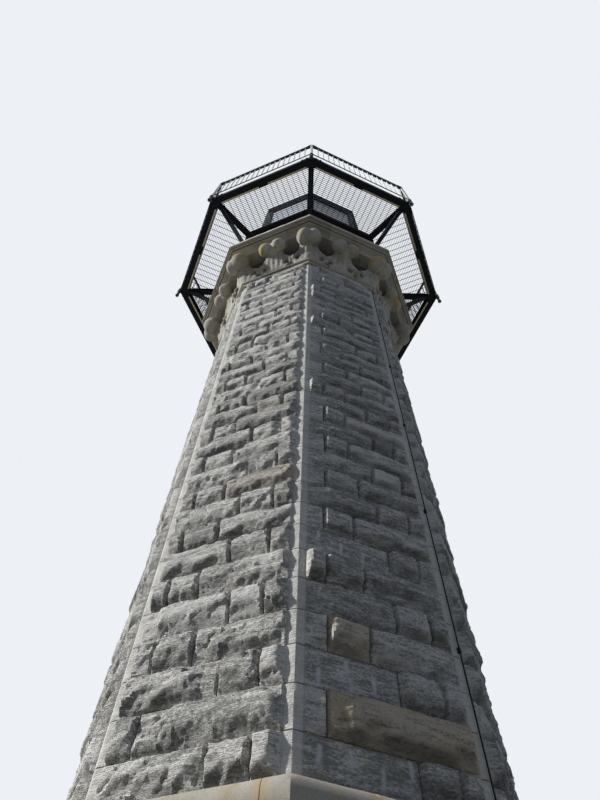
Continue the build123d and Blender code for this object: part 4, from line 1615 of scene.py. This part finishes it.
@dataclass
class Gallery:
    """What the steel deck holds besides its beams: cross rods in the grating, and bolts at the joints."""

    rod_pitch: float = 0.1016
    rod_half: float = 0.004
    rod_gap: float = 0.011
    rod_drop: float = 0.001
    shortest_rod: float = 0.03
    lap: float = 0.04
    bolt_radius: float = 0.012
    bolt_height: float = 0.009
    plate_half: float = 0.07
    plate_half_height: float = 0.05
    plate_thickness: float = 0.006
    plate_from_corner: float = 0.13
    shoe_lift: float = 0.05

    def __post_init__(self) -> None:
        """Reads the beams' places from their CAD nodes."""
        self.deck_outer = apothem_of("outer_ring_beam")
        self.ring_outer = apothem_of("inner_ring_beam")
        low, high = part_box("outer_ring_beam")
        self.beam_low, self.beam_high = low.z, high.z
        self.grating_outer = apothem_of("deck_grating")

    def build_rods(self) -> bpy.types.Object:
        """Builds the cross rods: square bars at even steps, square to the side and short at the mitres.

        Returns:
            The object.
        """
        surface = Surface("grating_cross_rods", (Finish.GRATING,))
        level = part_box("deck_grating")[1].z - self.rod_half - self.rod_drop
        count = int(self.grating_outer * SIDE_SLOPE / self.rod_pitch)
        for side in Side:
            across = side.level(self.rod_half)
            for step in range(-count, count + 1):
                along = step * self.rod_pitch
                start = max(self.ring_outer - self.lap, (abs(along) + self.rod_gap) / SIDE_SLOPE)
                if start < self.grating_outer - self.shortest_rod:
                    ends = side.place(along, np.array([start, self.grating_outer]), level)
                    surface.add_bar(*ends, across, upward(self.rod_half))
        return surface.build()

    def add_splice(self, surface: Surface, side: Side, end: float) -> None:
        """Adds a splice plate inside the channel, with four bolts.

        Args:
            surface: the bolts' surface.
            side: the channel's side.
            end: place of the plate's middle along the side.
        """
        out, middle = self.deck_outer, (self.beam_low + self.beam_high) / 2
        plate = side.place(np.array([end - self.plate_half, end + self.plate_half]), out, middle)
        surface.add_bar(*plate, side.outward(self.plate_thickness), upward(self.plate_half_height))
        for shift in (-0.04, 0.04):
            for rise in (-0.03, 0.03):
                foot = side.place(end + shift, out + self.plate_thickness, middle + rise)
                surface.add_rod(foot, foot + side.outward(self.bolt_height), self.bolt_radius)

    def build_joints(self) -> bpy.types.Object:
        """Builds the splices by the corners, bolts under the beams' ends and shoes for the knee braces.

        Returns:
            The object.
        """
        surface = Surface("gallery_bolts", STEEL)
        drum = apothem_of("drum") * CORNER_STRETCH
        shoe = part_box("knee_braces")[0].z + self.shoe_lift
        for side in Side:
            turn = side.turn + HALF_TURN
            outward = place_at(turn, 0.0, 1.0, 0.0)
            for sign in (-1, 1):
                self.add_splice(surface, side, sign * (self.deck_outer * SIDE_SLOPE - self.plate_from_corner))
            for reach in (self.ring_outer * CORNER_STRETCH + 0.06, self.deck_outer * CORNER_STRETCH - 0.3):
                for shift in (-0.03, 0.03):
                    foot = place_at(turn, shift, reach, self.beam_low + 0.011)
                    surface.add_rod(foot, foot - upward(self.bolt_height), self.bolt_radius)
            foot = outward * (drum - 0.02) + upward(shoe)
            across = place_at(turn, 0.06, 0.0, 0.0)
            surface.add_bar(foot - upward(0.11), foot + upward(0.11), across, 0.03 * outward)
        return surface.build()

    def build(self) -> list[bpy.types.Object]:
        """Builds the deck's details and returns their objects."""
        return [self.build_rods(), self.build_joints()]


@dataclass
class Railing:
    """The pipe rail: turned posts with collars outside the corners, and a round handrail through them."""

    rail_radius: float = 0.025
    post_radius: float = 0.024
    zinc_inset: float = 0.001
    collar_radius: float = 0.0335
    collar_height: float = 0.03
    collar_rim: float = 0.004
    sleeve_radius: float = 0.03
    sleeve_length: float = 0.09
    sleeve_gap: float = 0.015
    pickets: int = 17
    picket_half: float = 0.007
    bottom_rail_height: float = 0.03

    def __post_init__(self) -> None:
        """Reads the posts' line and heights from the CAD nodes."""
        self.line = apothem_of("outer_ring_beam") * CORNER_STRETCH + 0.03
        self.flat = self.line / CORNER_STRETCH
        posts, rail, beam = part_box("rail_posts"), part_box("handrail"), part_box("outer_ring_beam")
        self.foot, self.head = posts[0].z, posts[1].z
        self.rail_level = (rail[0].z + rail[1].z) / 2
        self.under, self.deck = beam[0].z, beam[1].z

    def collar(self, level: float) -> list[tuple[float, float]]:
        """A collar's profile: out from the post, up with softened rims, and back in.

        Args:
            level: the height of the collar's foot.

        Returns:
            Pairs of distance out and height.
        """
        rim, top = self.collar_rim, level + self.collar_height
        return [
            (self.post_radius, level),
            (self.collar_radius - rim, level),
            (self.collar_radius, level + rim),
            (self.collar_radius, top - rim),
            (self.collar_radius - rim, top),
            (self.post_radius, top),
        ]

    def build_posts(self) -> bpy.types.Object:
        """Builds the eight posts: dark up to the deck, bare zinc above it.

        Returns:
            The object.
        """
        surface = Surface("turned_rail_posts", (Finish.ZINC, Finish.RAIL))
        collars = (self.foot, self.under + self.collar_height / 2, self.deck - 1.5 * self.collar_height)
        lower = [(0.0, self.foot), *[pair for level in collars for pair in self.collar(level)]]
        lower += [(self.post_radius, self.deck + 0.02), (0.0, self.deck + 0.02)]
        zinc = self.post_radius - self.zinc_inset
        upper = [(0.0, self.deck + 0.015), (zinc, self.deck + 0.015), (zinc, self.head), (0.0, self.head)]
        for side in Side:
            middle = place_at(side.turn + HALF_TURN, 0.0, self.line, 0.0)
            surface.add_turned(middle, lower, Finish.RAIL)
            surface.add_turned(middle, upper, Finish.ZINC)
        return surface.build("rail_posts", crease=35)

    def build_handrail(self) -> bpy.types.Object:
        """Builds the handrail as one ring, with a sleeve on both sides of every corner.

        The distance out and the height of each row follow a circle, and the corners are mitred.

        Returns:
            The object.
        """
        surface = Surface("round_handrail", (Finish.RAIL,))
        turns = full_turn(ROUND)
        reach = (self.flat + self.rail_radius * np.cos(turns)) * CORNER_STRETCH
        level = self.rail_level + self.rail_radius * np.sin(turns)
        corners = [place_at(side.turn + HALF_TURN, 0.0, reach, level) for side in Side]
        surface.add_grid(np.stack(corners, axis=1), wrap_up=True)
        half = self.flat * SIDE_SLOPE
        for side in Side:
            for sign in (-1, 1):
                places = sign * np.array([half - self.sleeve_gap, half - self.sleeve_length])
                ends = side.place(places, self.flat, self.rail_level)
                surface.add_rod(*ends, self.sleeve_radius, ROUND, 0.003)
        return surface.build("handrail", crease=35)

    def build_panels(self) -> bpy.types.Object:
        """Builds the panels: a dark flat rail along each bay's foot, and zinc pickets up to the handrail.

        Returns:
            The object.
        """
        surface = Surface("picket_panels", (Finish.ZINC, Finish.RAIL))
        low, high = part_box("railing_panels")
        half = self.flat * SIDE_SLOPE - self.post_radius * CORNER_STRETCH
        rail_half = self.bottom_rail_height / 2
        step = 2 * half / (self.pickets + 1)
        for side in Side:
            thick = side.outward(self.picket_half)
            wide = side.level(self.picket_half)
            ends = side.place(np.array([-half, half]), self.flat, low.z + rail_half)
            surface.add_bar(*ends, thick, upward(rail_half), Finish.RAIL)
            for picket in range(1, self.pickets + 1):
                feet = side.place(picket * step - half, self.flat, np.array([low.z + 2 * rail_half, high.z]))
                surface.add_bar(*feet, wide, thick, Finish.ZINC)
        return surface.build("railing_panels")

    def build(self) -> list[bpy.types.Object]:
        """Builds the railing and returns its objects."""
        return [self.build_posts(), self.build_handrail(), self.build_panels()]


@dataclass
class Lantern:
    """What dresses the glazed room: beads round the panes, rivets along the sill and seams on the roof."""

    post_width: float = 0.07
    bead: float = 0.007
    rivet_radius: float = 0.009
    rivet_height: float = 0.006
    rivet_pitch: float = 0.12
    rivet_margin: float = 0.05
    seam_half: float = 0.007
    seam_height: float = 0.018
    seam_share: float = 0.34
    roof_top_apothem: float = 0.09

    def __post_init__(self) -> None:
        """Reads the room's sizes from its CAD nodes."""
        self.outer = apothem_of("lantern_sill")
        sill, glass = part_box("lantern_sill"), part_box("lantern_glass")
        self.foot, self.sill_top, self.glass_top = sill[0].z, sill[1].z, glass[1].z
        self.glass_out = -glass[0].y

    def build_beads(self) -> bpy.types.Object:
        """Builds four square beads round each pane, in front of the glass.

        Returns:
            The object.
        """
        surface = Surface("glazing_beads", STEEL)
        half = self.outer * SIDE_SLOPE - self.post_width
        out = self.glass_out + self.bead
        heights = np.array([self.sill_top + 2 * self.bead, self.glass_top - 2 * self.bead])
        for side in Side:
            level, outward = side.level(self.bead), side.outward(self.bead)
            for height in (self.sill_top + self.bead, self.glass_top - self.bead):
                ends = side.place(np.array([-half, half]), out, height)
                surface.add_bar(*ends, outward, upward(self.bead))
            for along in (-half + self.bead, half - self.bead):
                surface.add_bar(*side.place(along, out, heights), level, outward)
        return surface.build()

    def build_rivets(self) -> bpy.types.Object:
        """Builds two rows of rivets on each side of the sill.

        Returns:
            The object.
        """
        surface = Surface("sill_rivets", STEEL)
        half = self.outer * SIDE_SLOPE - self.rivet_margin
        steps = np.linspace(-half, half, 2 + int(2 * half / self.rivet_pitch))
        for side in Side:
            for height in (self.foot + self.rivet_margin, self.sill_top - self.rivet_margin):
                for along in steps.tolist():
                    foot = side.place(along, self.outer, height)
                    head = foot + side.outward(self.rivet_height)
                    surface.add_rod(foot, head, self.rivet_radius, 8, 0.003)
        return surface.build(crease=50)

    def build_seams(self) -> bpy.types.Object:
        """Builds the roof's standing seams: two on each slope and one on each hip.

        Returns:
            The object.
        """
        surface = Surface("roof_seams", STEEL)
        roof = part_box("lantern_roof")
        low, high = -roof[0].y, apothem_of("roof_cap")
        rise = (roof[1].z - roof[0].z) / (low - self.roof_top_apothem)
        top = roof[1].z - (high - self.roof_top_apothem) * rise
        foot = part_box("lantern_eave")[1].z
        lean = self.seam_share * SIDE_SLOPE
        for side in Side:
            for turn, slope, stretch in (
                (side.turn, -lean, 1.0), (side.turn, lean, 1.0), (side.turn + HALF_TURN, 0.0, CORNER_STRETCH)
            ):
                start = place_at(turn, slope * (low - 0.01), (low - 0.01) * stretch, foot)
                end = place_at(turn, slope * high, high * stretch, top)
                across = place_at(turn, self.seam_half, 0.0, 0.0)
                surface.add_bar(start, end, across, upward(self.seam_height))
        return surface.build()

    def build(self) -> list[bpy.types.Object]:
        """Builds the lantern's details and returns their objects."""
        return [self.build_beads(), self.build_rivets(), self.build_seams()]


@dataclass
class Conductor:
    """The slim dark conductor that runs down the shaft's right-hand corner on saddles."""

    corner: Side = Side.FRONT_RIGHT
    radius: float = 0.005
    stand_off: float = 0.009
    run_past: float = 0.02
    saddle_radius: float = 0.012
    saddle_height: float = 0.03
    saddle_inset: float = 0.003
    saddle_spacing: float = 1.2
    first_saddle: float = 0.9
    last_saddle: float = 0.2

    def build(self) -> list[bpy.types.Object]:
        """Builds the rod from the base band to the string course, and the saddles that hold it.

        Returns:
            The objects of the rod and of the saddles.
        """
        turn = self.corner.turn + HALF_TURN
        out = arris_apothem("shaft_wall_front") * CORNER_STRETCH + self.stand_off
        low, high = (corner.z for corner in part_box("shaft_wall_front"))
        surface = Surface("corner_conductor", STEEL)
        ends = place_at(turn, 0.0, out, np.array([low - self.run_past, high + self.run_past]))
        surface.add_rod(*ends, self.radius, around=8)
        for level in np.arange(low + self.first_saddle, high - self.last_saddle, self.saddle_spacing):
            heights = np.array([level, level + self.saddle_height])
            ends = place_at(turn, 0.0, out - self.saddle_inset, heights)
            surface.add_rod(*ends, self.saddle_radius, around=8)
        return [surface.build()]


@dataclass
class Doorway:
    """The closed door at the back: boards with grooves between them, strap hinges and a ring."""

    side: Side = Side.BACK
    boards: int = 6
    groove: float = 0.006
    strap_length: float = 0.5
    strap_half: float = 0.022
    strap_levels: tuple[float, ...] = (0.12, 0.5, 0.88)
    nails: int = 5
    nail_radius: float = 0.009
    nail_height: float = 0.005
    iron_thickness: float = 0.006
    ring_from_edge: float = 0.09
    ring_radius: float = 0.05
    ring_wire: float = 0.007
    ring_off: float = 0.012
    plate_radius: float = 0.035
    plate_height: float = 0.01

    def __post_init__(self) -> None:
        """Reads the leaf's place from its CAD node."""
        low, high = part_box("door_leaf")
        self.half = (high.x - low.x) / 2
        self.inner, self.outer, self.foot, self.head = low.y, high.y, low.z, high.z

    def build_leaf(self) -> bpy.types.Object:
        """Builds the leaf: a profile of flat boards and V grooves, carried up and closed at both ends.

        Returns:
            The object.
        """
        plan = [(-self.half, self.outer)]
        for edge in np.linspace(-self.half, self.half, self.boards + 1)[1:-1].tolist():
            for shift, depth in ((-self.groove, 0.0), (0.0, self.groove), (self.groove, 0.0)):
                plan.append((edge + shift, self.outer - depth))
        plan += [(self.half, self.outer), (self.half, self.inner), (-self.half, self.inner)]
        surface = Surface("boarded_door_leaf", (Finish.BOARDS,))
        surface.add_block(self.side, plan, self.foot, self.head)
        return surface.build("door_leaf", crease=25)

    def build_ironwork(self) -> bpy.types.Object:
        """Builds three strap hinges with nails, and a ring on a round plate.

        Returns:
            The object.
        """
        surface = Surface("door_ironwork", STEEL)
        thick = self.side.outward(self.iron_thickness / 2)
        tall = self.head - self.foot
        for share in self.strap_levels:
            height = self.foot + share * tall
            places = np.array([-self.half, self.strap_length - self.half])
            ends = self.side.place(places, self.outer + self.iron_thickness / 2, height)
            surface.add_bar(*ends, thick, upward(self.strap_half))
            for along in np.linspace(0.06, self.strap_length - 0.04, self.nails).tolist():
                foot = self.side.place(along - self.half, self.outer + self.iron_thickness, height)
                head = foot + self.side.outward(self.nail_height)
                surface.add_rod(foot, head, self.nail_radius, 8, 0.002)
        height = self.foot + 0.5 * tall
        along = self.half - self.ring_from_edge
        foot = self.side.place(along, self.outer, height)
        head = foot + self.side.outward(self.plate_height)
        surface.add_rod(foot, head, self.plate_radius, ROUND, 0.003)
        big, small = full_turn(28)[None, :], -full_turn(10)[:, None]
        reach = self.ring_radius + self.ring_wire * np.cos(small)
        ring = self.side.place(
            along + reach * np.sin(big),
            self.outer + self.ring_off + self.ring_wire * np.sin(small) + 0 * big,
            height - self.ring_radius + reach * np.cos(big),
        )
        surface.add_grid(ring, wrap_up=True)
        return surface.build(crease=50)

    def build(self) -> list[bpy.types.Object]:
        """Builds the door and returns its objects."""
        return [self.build_leaf(), self.build_ironwork()]


@dataclass
class Stage:
    """The plain pale floor, the soft studio lights and the camera at the photograph's viewing angle."""

    floor_width: float = 60.0
    floor_colour: str = "c9c8c5"
    bounce_colour: str = "716f6a"
    sun_towards: tuple[float, float, float] = (-0.77, -0.52, 0.62)
    sun_strength: float = 4.8
    sun_spread: float = math.radians(2.5)
    fill_colour: str = "bfd6fd"
    fill_strength: float = 0.28
    sky_colour: str = "edf1f6"
    camera_place: tuple[float, float, float] = (1.521, -3.6038, 1.5)
    heading: float = math.radians(-23.8305)
    pitch: float = math.radians(59.2086)
    roll: float = math.radians(2.5899)
    lens: float = 25.755

    def background_share(self, add: AddNode) -> Socket:
        """Tells where the backdrop is seen from where it gives light.

        Args:
            add: add_node tied to a tree.

        Returns:
            A socket that is 1 for the camera, reflections and glass, and 0 for light.
        """
        kinds = ("Camera", "Glossy", "Transmission")
        rays = [add("LightPath", {}, f"Is {kind} Ray") for kind in kinds]
        shown = add("Math", {0: rays[0], 1: rays[1]}, operation="MAXIMUM")
        return add("Math", {0: shown, 1: rays[2]}, operation="MAXIMUM")

    def build_floor(self) -> None:
        """Lays the floor."""
        mesh = bpy.data.meshes.new("studio_floor")
        half = self.floor_width / 2
        corners = [(-half, -half, 0), (half, -half, 0), (half, half, 0), (-half, half, 0)]
        mesh.from_pydata(corners, [], [(0, 1, 2, 3)])
        material, add = new_material("matt_studio_floor")
        shades = {"Color1": self.bounce_colour, "Color2": self.floor_colour}
        colour = add("MixRGB", {"Fac": self.background_share(add), **shades})
        add("OutputMaterial", {"Surface": add("BsdfPrincipled", {"Base Color": colour, "Roughness": 0.9})})
        mesh.materials.append(material)
        floor = bpy.data.objects.new("studio_floor", mesh)
        bpy.context.scene.collection.objects.link(floor)

    def build_lights(self) -> None:
        """Sets a sun on the left, and an even fill that the camera sees as a pale backdrop."""
        lamp = bpy.data.lights.new("key", "SUN")
        lamp.energy = self.sun_strength
        lamp.angle = self.sun_spread
        key = bpy.data.objects.new("key", lamp)
        key.rotation_euler = Vector(self.sun_towards).to_track_quat("Z", "Y").to_euler()
        bpy.context.scene.collection.objects.link(key)
        world = bpy.data.worlds.new("studio")
        world.use_nodes = True
        world.node_tree.nodes.clear()
        add = partial(add_node, world.node_tree)
        fill = add("Background", {"Color": self.fill_colour, "Strength": self.fill_strength})
        seen = add("Background", {"Color": self.sky_colour, "Strength": 1.0})
        mixed = add("MixShader", {0: self.background_share(add), 1: fill, 2: seen})
        add("OutputWorld", {"Surface": mixed})
        bpy.context.scene.world = world

    def build_camera(self) -> None:
        """Places the camera near the ground, looking up at the near corner."""
        flat = math.cos(self.pitch)
        ahead = Vector((math.sin(self.heading) * flat, math.cos(self.heading) * flat, math.sin(self.pitch)))
        level = Vector((math.cos(self.heading), -math.sin(self.heading), 0))
        above = level.cross(ahead)
        right = math.cos(self.roll) * level + math.sin(self.roll) * above
        up = math.cos(self.roll) * above - math.sin(self.roll) * level
        data = bpy.data.cameras.new("camera")
        data.lens = self.lens
        camera = bpy.data.objects.new("camera", data)
        turned = Matrix((right, up, -ahead)).transposed().to_4x4()
        camera.matrix_world = Matrix.Translation(self.camera_place) @ turned
        bpy.context.scene.collection.objects.link(camera)
        bpy.context.scene.camera = camera

    def build(self) -> None:
        """Builds the stage."""
        self.build_floor()
        self.build_lights()
        self.build_camera()
        bpy.context.scene.view_settings.view_transform = "Standard"


def report(piece: bpy.types.Object) -> None:
    """Logs a finished piece and how many faces it has."""
    log.info("%s: %d faces", piece.name, len(piece.data.polygons))


def build_masonry() -> None:
    """Builds the base, the moulded courses, the shaft, the capital and the drum."""
    shaft = arris_apothem("shaft_wall_front")
    for side in Side:
        sizes = dict(courses=10, cell=0.024, seed=80 + side.value, course_jitter=0.0)
        if side is Side.BACK:
            wall = DoorwayWall.of_group("base", side, **sizes)
            report(wall.build("base_doorway_ashlar", "door_pier_left", "door_pier_right", "door_lintel"))
        else:
            node = f"base_wall_{side.plain_name}"
            report(AshlarWall.of_group("base", side, **sizes).build(f"{node}_ashlar", node))
        node = f"shaft_wall_{side.plain_name}"
        cell = FAR_CELL if side in FAR_SIDES else NEAR_CELL
        sizes = dict(courses=32, cell=cell, cell_growth=1.75, seed=40 + side.value)
        wall = AshlarWall.of_group("shaft", side, **sizes, **SHAFT_SIDES.get(side, {}))
        report(wall.build(f"{node}_ashlar", node))
    for course in moulded_courses(shaft):
        report(course.build())
    report(Capital().build())
    low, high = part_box("drum")
    surface = Surface("drum_ashlar", (Finish.DRESSED, Finish.MORTAR))
    for side in Side:
        seed = 120 + side.value
        AshlarWall(side, -low.y, -low.y - 0.3, low.z, high.z, 5, 0.06, seed, rock=None).fill(surface)
    report(surface.build("drum"))


def moulded_courses(shaft: float) -> list[RingCourse]:
    """The set-off, the base band, the string course and the cap, from the ground up.

    Args:
        shaft: distance from the axis to the shaft's flat face.

    Returns:
        The courses, ready to build.
    """
    inner = shaft - 0.3
    low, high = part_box("set_off")
    band_low, band_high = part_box("base_band")
    fillet = 0.038
    radius = (band_high.z - band_low.z - fillet) / 2
    centre = apothem_of("base_band") - radius
    set_off = RingCourse(
        "set_off_course", "dressed_stone", Finish.DRESSED, "set_off",
        [(-low.y, low.z), (-low.y, low.z + 0.02), (centre + radius - 0.01, high.z)],
        inner, step=0.04, joint_shares=(-0.5, 0.5), seed=11,
    )
    roll = arc((centre, band_low.z + fillet + radius), radius, -90, 90, 15)
    edge = centre + radius - fillet
    band = RingCourse(
        "base_band_roll", "dressed_stone", Finish.DRESSED, "base_band",
        [(edge, band_low.z), (edge, band_low.z + fillet), *roll],
        inner, step=0.03, joint_shares=(-0.3, 0.77), joint=0.003, joint_depth=0.003, joint_painted_shade=0.3,
        joint_warmth=1.4, weathering=0.0035, seed=12,
    )
    low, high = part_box("string_course")
    tall = (high.z - low.z) / 2
    outer = apothem_of("string_course")
    ledge = (shaft + outer) / 2
    roll = arc((outer - tall / 2, high.z - tall / 2), tall / 2, -90, 90, 9)
    string = RingCourse(
        "string_course_roll", "carved_stone", Finish.DRESSED, "string_course",
        [(ledge, low.z), (ledge, low.z + tall), *roll],
        inner, step=0.02, joint_shares=(-0.4, 0.45), groove_painted_shade=0.8, weathering=0.0035, lump=0.06, seed=13,
    )
    low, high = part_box("capital_cap")
    outer, step = -low.y, (high.z - low.z) / 5
    angles = np.linspace(0, math.pi / 2, 9)
    cove_out = outer - step * (1.75 + 2.25 * np.cos(angles))
    cove_up = low.z + step * (0.3 + 1.3 * np.sin(angles))
    bead = ((1.75, 2.3), (1.5, 2.45), (1.0, 2.45), (0.95, 3.1), (0.75, 3.2))
    fascia = ((0.1, 3.2), (0, 3.3), (0, 4.8), (0.25, 5))
    face = [
        (outer - 4 * step, low.z),
        *zip(cove_out.tolist(), cove_up.tolist()),
        *[(outer - back * step, low.z + rise * step) for back, rise in (*bead, *fascia)],
    ]
    cap = RingCourse(
        "capital_cap_mouldings", "carved_stone", Finish.CARVED, "capital_cap",
        face, inner, step=0.02, joint_shares=(-0.45, 0.4), joint=0.003, joint_depth=0.003, joint_painted_shade=0.35,
        groove_painted_shade=0.75, painted_highlight=0.3, weathering=0.004, lump=0.07, seed=14,
    )
    return [set_off, band, string, cap]


def dress_frame() -> None:
    """Gives every CAD node that still shows the finish of its material slot."""
    finishes = {slot: finish for finish, slot in SLOTS.items()}
    for subpart in frame["record"]["subparts"]:
        node = frame["nodes"][subpart["node"]]
        node.data.materials.clear()
        node.data.materials.append(finishes[subpart["material_slot"]].dress())


def main() -> None:
    """Builds the sub-assemblies in order and logs each piece."""
    logging.basicConfig(level=logging.INFO, format="%(message)s")
    Stage().build()
    dress_frame()
    build_masonry()
    for assembly in (Conductor(), Gallery(), Railing(), Lantern(), Doorway()):
        for piece in assembly.build():
            report(piece)


if __name__ == "__main__":
    main()
